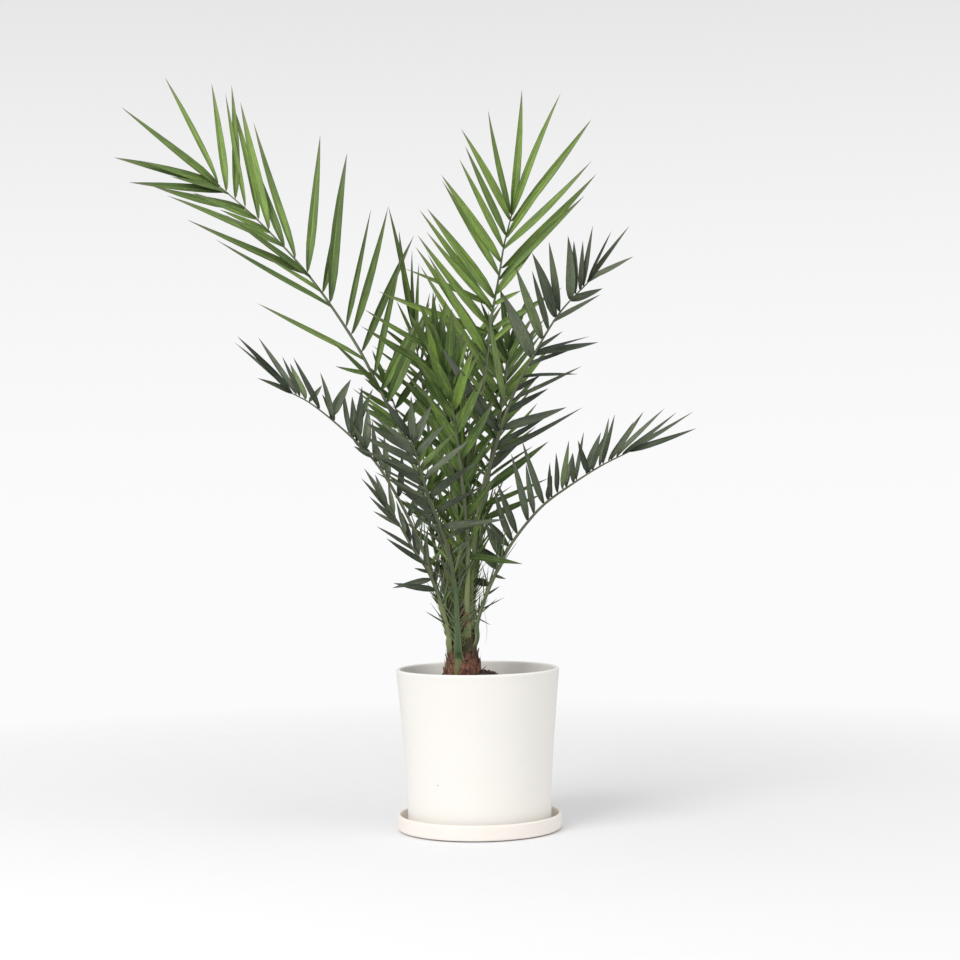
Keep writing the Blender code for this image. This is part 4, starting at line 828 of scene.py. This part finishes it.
def stalkMaterial():
    # stalk and midrib: brown and fibrous where it clasps the stem, then green with fine lines and pale
    # edges, and dark grey-green further out
    material, tree, shader = newMaterial("leafStalk", stalkLook["roughness"], 0.05, 0.4, 0.3)
    flat = addNode(tree, "ShaderNodeSeparateXYZ", {0: addNode(tree, "ShaderNodeUVMap", uv_map="surface").outputs[0]})
    across, along = flat.outputs[0], flat.outputs[1]
    tone = addNode(tree, "ShaderNodeAttribute", attribute_name="tone").outputs["Fac"]
    grain = useGroup(tree, lines, Across=across, Along=along, Count=9.0, Tone=tone)
    colour = mixColour(tree, tone, stalkLook["young"], stalkLook["grown"])
    colour = mixColour(tree, spread(tree, along, 0.26, 0.48), colour, stalkLook["rachis"])
    colour = mixColour(tree, mathNode(tree, "MULTIPLY", grain.outputs["Lines"], 0.30), colour, stalkLook["spine"])
    colour = mixColour(tree, spread(tree, along, 0.034, 0.006), colour, stalkLook["foot"])
    pale = mathNode(tree, "MULTIPLY", grain.outputs["Margin"], spread(tree, along, 0.5, 0.2, 0.15, 0.65))
    colour = mixColour(tree, pale, colour, stalkLook["pale"])
    tree.links.new(colour, shader.inputs["Base Color"])
    cloud = useGroup(tree, patches, Vector=objectPlace(tree), Scale=90.0, Low=0.3, High=0.7).outputs[0]
    addBump(tree, shader, mathNode(tree, "ADD", grain.outputs["Lines"], cloud), 0.3, 0.0005)
    return material


def midribPath(node):  # from inside the stem, up past its side, then through the drawn places
    turn, height = frondLines[node]["leavesStem"]
    out = np.array([math.cos(math.radians(turn)), math.sin(math.radians(turn)), 0.0])
    radius = float(stemRadius(height))
    start = stemPlace + out * (radius - frondLook["sunk"]) + [0.0, 0.0, height]
    beside = stemPlace + out * (radius + frondLook["clear"]) + [0.0, 0.0, height + frondLook["rise"]]
    return smoothPath([start, beside] + [seenAt(*place) for place in frondLines[node]["line"]], 400)


def leafletsOf(node):
    # reads the blades off a frame node: in its merged mesh a blade's tip has four neighbours, two far
    # edge corners, and a crease and a keel corner that lie further down its middle line
    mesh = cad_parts[node].data
    points = np.empty((len(mesh.vertices), 3), np.float32)
    mesh.vertices.foreach_get("co", points.ravel())
    mesh.calc_loop_triangles()
    tris = np.empty((len(mesh.loop_triangles), 3), np.int32)
    mesh.loop_triangles.foreach_get("vertices", tris.ravel())
    points, number = np.unique(np.round(points.astype(float), 5), axis=0, return_inverse=True)
    tris = number.ravel()[tris]
    sides = np.sort(np.concatenate([tris[:, [0, 1]], tris[:, [1, 2]], tris[:, [2, 0]]]), axis=1)
    sides = np.unique(sides, axis=0)
    both = np.concatenate([sides, sides[:, ::-1]])
    both = both[np.argsort(both[:, 0], kind="stable")]
    tips = np.flatnonzero(np.bincount(sides.ravel()) == 4)
    around = both[np.searchsorted(both[:, 0], tips)[:, None] + np.arange(4), 1]
    arms = points[around] - points[tips][:, None]
    order = np.argsort(np.linalg.norm(arms, axis=-1), axis=1)
    arms = np.take_along_axis(arms, order[..., None], axis=1)
    edges, middles = arms[:, :2], arms[:, 2:]
    line = middles.mean(axis=1)
    length = np.linalg.norm(line, axis=-1)
    straight = (unit(arms) * unit(line)[:, None]).sum(-1).min(axis=1) > 0.97
    thin = np.linalg.norm(middles[:, 0] - middles[:, 1], axis=-1) < 0.0016
    share = np.linalg.norm(edges.mean(axis=1), axis=-1) / np.maximum(length, 1e-9)
    look = leafletLook
    wanted = (1.0 - look["wideTo"]) / (1.0 - look["wideFrom"])
    whole = straight & thin & (abs(share - wanted) < 0.04)
    tips, edges, line = tips[whole], edges[whole], line[whole]
    tip = points[tips]
    foot = tip + line / (1.0 - look["wideFrom"])
    side = unit(edges[:, 0] - edges[:, 1])
    half = np.linalg.norm(edges[:, 0] - edges[:, 1], axis=-1) / 2.0 / look["narrowing"]
    front = unit(edges.mean(axis=1) - line * wanted)
    return foot, tip, side, front, half


# blades that the frame shows merged with their neighbours: the way they face, and for each its foot
# and tip on the drawing (across, down, depth) and its half width
mergedBlades = {
    "frond_right_low": {"faces": (-0.4, -0.8, 0.5), "drawn": [((498, 568, -15), (478, 554, -35), 0.0050),
                                                              ((490, 586, -15), (470, 578, 5), 0.0055)]},
    "frond_left_low": {"faces": (0.3, -0.6, 0.7), "drawn": [((430, 574, -35), (414, 568, -40), 0.0035),
                                                            ((440, 600, -25), (430, 592, -30), 0.0020)]},
}


def withMerged(node, blades, path):
    # a merged blade grows from the point of the midrib that lies nearest its drawn foot
    if node not in mergedBlades:
        return list(blades)
    listed = mergedBlades[node]
    drawnFoot, tip = (np.array([seenAt(*entry[i]) for entry in listed["drawn"]]) for i in (0, 1))
    foot = path[np.linalg.norm(path[None] - drawnFoot[:, None], axis=-1).argmin(axis=1)]
    side = unit(np.cross(tip - foot, listed["faces"]))
    front = np.cross(side, unit(tip - foot))
    half = np.array([entry[2] for entry in listed["drawn"]])
    return [np.concatenate(pair) for pair in zip(blades, (foot, tip, side, front, half))]


def lowBlades(path, rng):
    # the short stiff blades below the drawn leaflets, in uneven pairs, longer and wider further up
    look = frondLook
    run = np.concatenate([[0.0], np.cumsum(np.linalg.norm(np.diff(path, axis=0), axis=1))])
    ahead, across, up = stalkFrames(path)
    count = 2 * look["lowPairs"]
    share = (np.repeat(np.linspace(0.0, 1.0, look["lowPairs"]), 2) + rng.normal(0.0, 0.04, count)).clip(0.0, 1.0)
    at = np.searchsorted(run, (look["lowFrom"] + (look["lowTo"] - look["lowFrom"]) * share) * run[-1])
    hand = np.where(np.arange(count) % 2 == 0, 1.0, -1.0)[:, None]
    aim = ahead[at] * rng.uniform(0.7, 1.1, (count, 1)) + across[at] * hand * rng.uniform(0.25, 0.75, (count, 1))
    aim = unit(aim + up[at] * rng.uniform(-0.1, 0.5, (count, 1)))
    length = np.interp(share, [0.0, 1.0], look["lowLength"]) * rng.uniform(0.7, 1.25, count)
    foot = path[at]
    side = unit(np.cross(aim, up[at]))
    return foot, foot + aim * length[:, None], side, np.cross(side, aim), np.interp(share, [0.0, 1.0], look["lowHalf"])


def leafletSkins(foot, tip, side, front, half, rng, tone=0.5, varies=0.25):
    # a blade: its half width grows from a narrow foot as a parabola and falls as a power curve to the
    # point; its section is a V that is deep at the foot and shallow further out; its middle line bows
    look = leafletLook
    u = np.array([0.025, 0.085, 0.19, 0.33, 0.50, 0.68, 0.84, 0.955])
    grow = 1.0 - 0.80 * (1.0 - np.minimum(u / 0.27, 1.0)) ** 2
    shape = grow * (1.0 - np.maximum(0.0, (u - 0.30) / 0.70) ** 1.75)
    fold = look["fold"] + (look["foldAtFoot"] - look["fold"]) * (1.0 - u) ** 4
    count = len(foot)
    along = tip - foot
    length = np.linalg.norm(along, axis=-1)[:, None, None]
    bow = rng.normal(0.0, look["bow"], (count, 2)).clip(-0.045, 0.045)
    arch = (4.0 * u * (1.0 - u))[None, :, None]
    centre = foot[:, None] + along[:, None] * u[None, :, None]
    centre = centre + length * arch * (side[:, None] * bow[:, None, :1] + front[:, None] * (bow[:, None, 1:] * 0.7))
    turn = (rng.normal(0.0, look["twist"], (count, 1)) * (1.0 - u) ** 2 + rng.normal(0.0, 0.18, (count, 1)) * u**2)[..., None]
    across = side[:, None] * np.cos(turn) + front[:, None] * np.sin(turn)
    face = front[:, None] * np.cos(turn) - side[:, None] * np.sin(turn)
    wide = half[:, None] * shape[None] * look["fullness"]
    a = np.array([-1.0, -0.5, 0.0, 0.5, 1.0, 0.0])
    lift = np.abs(a)[None, :] * fold[:, None] + np.array([0.0, 0.05, 0.0, 0.05, 0.0, 0.0])
    keel = np.array([0.0, 0.0, 0.0, 0.0, 0.0, -1.0])
    deep = wide[..., None] * lift[None] + look["thickness"] * (0.35 + 0.65 * shape)[None, :, None] * keel
    rings = centre[:, :, None] + across[:, :, None] * (wide[..., None] * a)[..., None] + face[:, :, None] * deep[..., None]
    points, quads, tris = loftMany(rings, foot, tip)
    size = len(a)
    onLeaf = perPoint(np.broadcast_to(u, (count, len(u))), len(u), size).reshape(count, -1)
    onLeaf[:, 0], onLeaf[:, -1] = 0.0, 1.0
    over = np.concatenate([[0.5], np.tile((a + 1.0) / 2.0, len(u)), [0.5]])
    uv = np.stack([np.tile(over, count), onLeaf.ravel()], axis=1)
    # painted light: leaflets that point up get a higher tone and are painted lighter, those pointing down darker
    lit = tone + rng.normal(0.0, varies, count) + 0.30 * (unit(along)[:, 2] - 0.6)
    tone = np.repeat(lit.clip(0.0, 1.0), len(u) * size + 2)
    return {"points": points, "quads": quads, "tris": tris, "uv": uv, "tone": tone, "slot": 0}


def stalkFrames(path):  # at each point: ahead, across, and the side that faces the stem and the sky
    ahead = unit(np.gradient(path, axis=0))
    inward = stemPlace - path
    inward[:, 2] = 0.0
    up = unit(unit(inward) * 0.6 + np.array([0.0, 0.0, 0.8]))
    up = unit(up - ahead * (up * ahead).sum(-1, keepdims=True))
    return ahead, np.cross(ahead, up), up


def stalkSkin(path, tone):
    # a half-round rod with a shallow channel on its upper side; it widens into a thin clasp at its foot
    look = frondLook
    pick = np.unique(np.round(np.linspace(0.0, 1.0, look["rings"]) ** 1.25 * (len(path) - 1)).astype(int))
    line = path[pick]
    run = np.concatenate([[0.0], np.cumsum(np.linalg.norm(np.diff(line, axis=0), axis=1))])
    share = run / run[-1]
    radii = [look["stalkRadius"], look["rachisRadius"], look["middleRadius"], look["endRadius"]]
    radius = np.interp(share, [0.0, look["stalkShare"], 0.6, 1.0], radii)
    clasp = np.exp(-run / look["claspLength"])
    _, across, up = stalkFrames(line)
    turn = np.linspace(0.0, 2.0 * np.pi, 12, endpoint=False)
    x = np.cos(turn)[None] * (1.0 + look["clasp"] * clasp[:, None])
    above = np.maximum(np.sin(turn), 0.0)
    y = np.where(turn <= np.pi, 0.62, 0.98) * np.sin(turn) - 0.42 * above * np.exp(-((np.cos(turn) / 0.5) ** 2))
    y = y[None] * (1.0 - 0.35 * clasp[:, None])
    rings = line[:, None] + radius[:, None, None] * (across[:, None] * x[..., None] + up[:, None] * y[..., None])
    tipPoint = line[-1] + unit(line[-1] - line[-2]) * 0.002
    points, quads, tris = loftMany(rings[None], line[None, 0], tipPoint[None])
    over = np.concatenate([[0.5], np.tile((np.cos(turn) + 1.0) / 2.0, len(line)), [0.5]])
    uv = np.stack([over, np.concatenate([[0.0], np.repeat(share, 12), [1.0]])], axis=1)
    return {"points": points, "quads": quads, "tris": tris, "uv": uv, "tone": tone, "slot": 1}


def spineSkins(path, rng):
    # spines: four-sided needles in uneven pairs, pointing up along the stalk and outwards
    look = frondLook
    run = np.concatenate([[0.0], np.cumsum(np.linalg.norm(np.diff(path, axis=0), axis=1))])
    ahead, across, up = stalkFrames(path)
    count = 2 * look["spinePairs"]
    share = np.repeat(np.linspace(0.0, 1.0, look["spinePairs"]), 2) + rng.normal(0.0, 0.03, count)
    place = (look["spineFrom"] + (look["spineTo"] * run[-1] - look["spineFrom"]) * share.clip(0.0, 1.0))
    at = np.searchsorted(run, place).clip(0, len(path) - 1)
    hand = np.where(np.arange(count) % 2 == 0, 1.0, -1.0)[:, None]
    aim = ahead[at] * rng.uniform(0.6, 1.0, (count, 1)) + across[at] * hand * rng.uniform(0.45, 0.95, (count, 1))
    aim = unit(aim + up[at] * rng.uniform(-0.1, 0.5, (count, 1)))
    size = rng.uniform(*look["spineLength"], (count, 1)) * (0.75 + 0.6 * share[:, None])
    foot, tip = path[at], path[at] + aim * (size + look["stalkRadius"])
    one = unit(np.cross(aim, up[at]))
    two = np.cross(aim, one)
    turn = np.linspace(0.0, 2.0 * np.pi, 4, endpoint=False)[:, None]
    u = np.array([0.05, 0.55])
    slim = look["spineRadius"] * np.array([1.0, 0.7])
    rings = (foot[:, None] + (tip - foot)[:, None] * u[:, None])[:, :, None] + slim[None, :, None, None] * (
        one[:, None, None] * np.cos(turn) + two[:, None, None] * np.sin(turn))
    points, quads, tris = loftMany(rings, foot, tip)
    uv = np.tile([0.5, 0.12], (len(points), 1))
    return {"points": points, "quads": quads, "tris": tris, "uv": uv, "tone": 0.6, "slot": 1}


def makeFrontFoot(stalk):
    # the front stalk's foot: a strip that runs on down over the stem to the soil
    look = frontFootLook
    z = np.linspace(look["top"], look["bottom"], 7)
    angle = np.radians(np.linspace(look["turn"][0], look["turn"][1], 7))
    reach = stemRadius(z) + look["stand"]
    middle = np.stack([reach * np.cos(angle), reach * np.sin(angle), z], axis=1) + stemPlace
    out = np.stack([np.cos(angle), np.sin(angle), 0.0 * angle], axis=1)
    beside = np.stack([-np.sin(angle), np.cos(angle), 0.0 * angle], axis=1)
    turn = np.linspace(0.0, 2.0 * np.pi, 10, endpoint=False)
    wide = look["half"] * np.array([0.95, 1.0, 1.0, 0.95, 0.85, 0.7, 0.45])
    rings = middle[:, None] + wide[:, None, None] * (
        beside[:, None] * np.cos(turn)[:, None] + 0.55 * out[:, None] * np.sin(turn)[:, None])
    points, quads, tris = loftMany(rings[None], middle[None, 0] + [0.0, 0.0, 0.001], middle[None, -1] - [0.0, 0.0, 0.001])
    over = np.concatenate([[0.5], np.tile((np.cos(turn) + 1.0) / 2.0, 7), [0.5]])
    down = np.concatenate([[0.034], np.repeat(np.linspace(0.034, 0.004, 7), 10), [0.002]])
    loft = {"points": points, "quads": quads, "tris": tris, "uv": np.stack([over, down], axis=1), "tone": look["tone"]}
    foot = makePiece("frontStalkFoot", [loft], [stalk], 40.0)
    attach(foot, "root")


def makeFronds():
    leaves = [leafMaterial("leafBright", brightLook), leafMaterial("leafHeartGreenAndShade", heartGreenAndShadeLook), leafMaterial("leafDarkShadeAndSheen", darkShadeAndSheenLook)]
    stalk = stalkMaterial()
    total = 0
    for number, node in enumerate(frondLines):
        rng = np.random.default_rng(100 + number)
        path = midribPath(node)
        blades = withMerged(node, leafletsOf(node), path)
        total += len(blades[0])
        nearest = np.linalg.norm(path[None] - blades[0][:, None], axis=-1).argmin(axis=1) / len(path)
        blades[4] *= np.interp(nearest, frondLook["slimShare"], (0.45, 1.0))
        lofts = [
            leafletSkins(*blades, rng, leafTones[node]),
            # painted light: the low blades get a high tone, painted lighter where the crown above shades them
            leafletSkins(*lowBlades(path, rng), rng, 0.82, 0.10),
            stalkSkin(path, stalkTones.get(node, rng.uniform(0.1, 0.5))),
            spineSkins(path, rng),
        ]
        words = node.split("_")
        name = words[0] + "".join(word.capitalize() for word in words[1:])
        leaf = leaves[1] if node in heartFronds else leaves[0] if node in brightFronds else leaves[2]
        made = makePiece(name, lofts, [leaf, stalk], 24.0)
        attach(made, "root")
        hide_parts(node)
    makeFrontFoot(stalk)
    print("fronds made:", len(frondLines), "with", total, "leaflets")
    return leaves[1]


leafHeartGreenAndShade = makeFronds()


# the youngest leaf, still closed

spearLook = {"line": [(463, 560, 3), (461, 500, 4), (458, 430, 7), (456, 352, 12)], "foot": 0.3623,
             "radii": (0.0026, 0.0040, 0.0052, 0.0046, 0.0006), "pleats": 7, "pleatDepth": 0.16}


def makeSpear():
    # a long spindle: radius from the list along it, times a wave round it for the folded leaflets,
    # and the wave turns slowly on its way up
    look = spearLook
    path = smoothPath([stemPlace + [0.0, 0.0, look["foot"]]] + [seenAt(*p) for p in look["line"]], 60)
    ahead = unit(np.gradient(path, axis=0))
    across = unit(np.cross(ahead, [0.0, 1.0, 0.0]))
    other = np.cross(ahead, across)
    share = np.linspace(0.0, 1.0, 60)
    radius = np.interp(share, np.linspace(0.0, 1.0, len(look["radii"])), look["radii"])
    turn = np.linspace(0.0, 2.0 * np.pi, 28, endpoint=False)
    wave = 1.0 - look["pleatDepth"] * (0.5 + 0.5 * np.cos(look["pleats"] * (turn[None] + 1.5 * share[:, None])))
    size = (radius[:, None] * wave)[1:-1, :, None]
    rings = path[1:-1, None] + size * (across[1:-1, None] * np.cos(turn)[:, None] + other[1:-1, None] * np.sin(turn)[:, None])
    points, quads, tris = loftMany(rings[None], path[None, 0], path[None, -1])
    over = np.concatenate([[0.5], np.tile((np.cos(turn) + 1.0) / 2.0, 58), [0.5]])
    uv = np.stack([over, np.concatenate([[0.0], np.repeat(share[1:-1], 28), [1.0]])], axis=1)
    spear = makePiece("spearLeaf", [{"points": points, "quads": quads, "tris": tris, "uv": uv, "tone": 0.55}], [leafHeartGreenAndShade], 24.0)
    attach(spear, "root")
    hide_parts("spear_leaf")


youngLook = {"count": 46, "from": 0.28, "to": 0.86, "stand": 0.010, "length": (0.09, 0.19), "spreadOut": 0.17,
             "half": (0.0016, 0.0038), "leanLeft": 0.06}


def makeYoung():
    # the heart of the crown: narrow leaflets still folded upright round the closed leaf, set on it in
    # a spiral of the golden angle, their tips spread a little outwards
    look, rng = youngLook, np.random.default_rng(71)
    count = look["count"]
    path = smoothPath([seenAt(*p) for p in spearLook["line"]], 200)
    order = np.arange(count)
    at = ((look["from"] + (look["to"] - look["from"]) * order / (count - 1)) * 199).astype(int) - 40
    angle = order * math.radians(137.5)
    out = np.stack([np.cos(angle), np.sin(angle), 0.0 * angle], axis=1)
    foot = path[at.clip(0, 199)] + out * look["stand"] * rng.uniform(0.2, 1.0, (count, 1))
    aim = np.array([-look["leanLeft"], 0.0, 1.0]) + out * look["spreadOut"] * rng.uniform(0.2, 1.0, (count, 1))
    tip = foot + unit(aim) * rng.uniform(*look["length"], (count, 1))
    side = unit(np.cross(tip - foot, out + [0.0, -0.8, 0.0]))
    front = np.cross(side, unit(tip - foot))
    half = rng.uniform(*look["half"], count)
    young = makePiece("youngLeaflets", [leafletSkins(foot, tip, side, front, half, rng, 0.22)], [leafHeartGreenAndShade], 24.0)
    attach(young, "root")


makeSpear()
makeYoung()
print("spear leaf and the young leaflets round it made")


# camera, floor and light

stageLook = {
    "aim": (0.00727, 0.0, 0.4902), "lens": 71.23, "floorColour": (0.765, 0.765, 0.775, 1.0),
    "sky": (0.965, 0.965, 0.975, 1.0), "skyTop": (0.80, 0.80, 0.80, 1.0), "skyLow": 0.56, "skyHigh": 1.10,
    "keyPlace": (-1.7, -2.1, 2.3), "keySize": 1.8, "keyPower": 68.0,
    "fillPlace": (2.4, -1.6, 1.4), "fillSize": 2.5, "fillPower": 20.0,
}


def placed(right, up, back, place):  # the matrix with these three axes and this origin
    return mathutils.Matrix([[right[i], up[i], back[i], place[i]] for i in range(3)] + [[0.0, 0.0, 0.0, 1.0]])


def makeCamera():
    data = bpy.data.cameras.new("camera")
    data.lens = stageLook["lens"]
    data.sensor_width = 36.0
    camera = bpy.data.objects.new("camera", data)
    bpy.context.scene.collection.objects.link(camera)
    eye = np.array(drawing["eye"])
    back = unit(eye - np.array(stageLook["aim"]))
    right = unit(np.cross([0.0, 0.0, 1.0], back))
    up = np.cross(back, right)
    lean = drawing["lean"]
    leftLean = right * math.cos(lean) - up * math.sin(lean)
    upLean = up * math.cos(lean) + right * math.sin(lean)
    camera.matrix_world = placed(leftLean, upLean, back, eye)
    bpy.context.scene.camera = camera


def addLight(name, place, size, power, target=(0.0, 0.0, 0.45)):
    data = bpy.data.lights.new(name, "AREA")
    data.size, data.energy = size, power
    light = bpy.data.objects.new(name, data)
    bpy.context.scene.collection.objects.link(light)
    back = unit(np.array(place) - np.array(target))
    right = unit(np.cross([0.0, 0.0, 1.0], back))
    up = np.cross(back, right)
    light.matrix_world = placed(right, up, back, place)


def makeStage():
    # a pale floor disc that fades out before its edge, so that no horizon shows
    turn = np.linspace(0.0, 2.0 * np.pi, 96, endpoint=False)
    radii = np.array([0.2, 0.6, 1.2, 2.4, 3.2])
    ring = np.stack([radii[:, None] * np.cos(turn), radii[:, None] * np.sin(turn), 0.0 * turn + 0.0 * radii[:, None]], axis=-1)
    mesh = bpy.data.meshes.new("paleFloor")
    points = np.concatenate([[[0.0, 0.0, 0.0]], ring.reshape(-1, 3)])
    here = 1 + np.arange(5 * 96).reshape(5, 96)
    after = np.roll(here, -1, axis=1)
    faces = np.stack([here[:-1], here[1:], after[1:], after[:-1]], axis=-1).reshape(-1, 4).tolist()
    faces += np.stack([np.zeros(96, int), here[0], after[0]], axis=-1).tolist()
    mesh.from_pydata(points.tolist(), [], faces)
    floor = bpy.data.objects.new("paleFloor", mesh)
    bpy.context.scene.collection.objects.link(floor)
    material, tree, shader = newMaterial("paleFloor", 0.9)
    place = objectPlace(tree)
    far = addNode(tree, "ShaderNodeVectorMath", {0: place}, operation="LENGTH").outputs["Value"]
    tree.links.new(spread(tree, far, 0.35, 1.7, 1.0, 0.0), shader.inputs["Alpha"])
    shader.inputs["Base Color"].default_value = stageLook["floorColour"]
    mesh.materials.append(material)

    world = bpy.data.worlds.new("studio")
    world.use_nodes = True
    tree = world.node_tree
    split = addNode(tree, "ShaderNodeSeparateXYZ", {0: addNode(tree, "ShaderNodeTexCoord").outputs["Generated"]})
    rise = mathNode(tree, "POWER", spread(tree, split.outputs[2], -0.05, 0.25), 2.0)
    tree.links.new(mixColour(tree, rise, stageLook["sky"], stageLook["skyTop"]), tree.nodes["Background"].inputs["Color"])
    shown = addNode(tree, "ShaderNodeLightPath").outputs["Is Camera Ray"]
    lit = spread(tree, split.outputs[2], 0.0, 0.7, stageLook["skyLow"], stageLook["skyHigh"])
    strength = mathNode(tree, "MAXIMUM", lit, shown)
    strength = mathNode(tree, "MINIMUM", strength, mathNode(tree, "MULTIPLY_ADD", shown, -9.0, 10.0))
    tree.links.new(strength, tree.nodes["Background"].inputs["Strength"])
    bpy.context.scene.world = world
    bpy.context.scene.view_settings.view_transform = "Standard"
    addLight("keyLight", stageLook["keyPlace"], stageLook["keySize"], stageLook["keyPower"])
    addLight("fillLight", stageLook["fillPlace"], stageLook["fillSize"], stageLook["fillPower"])


makeCamera()
makeStage()
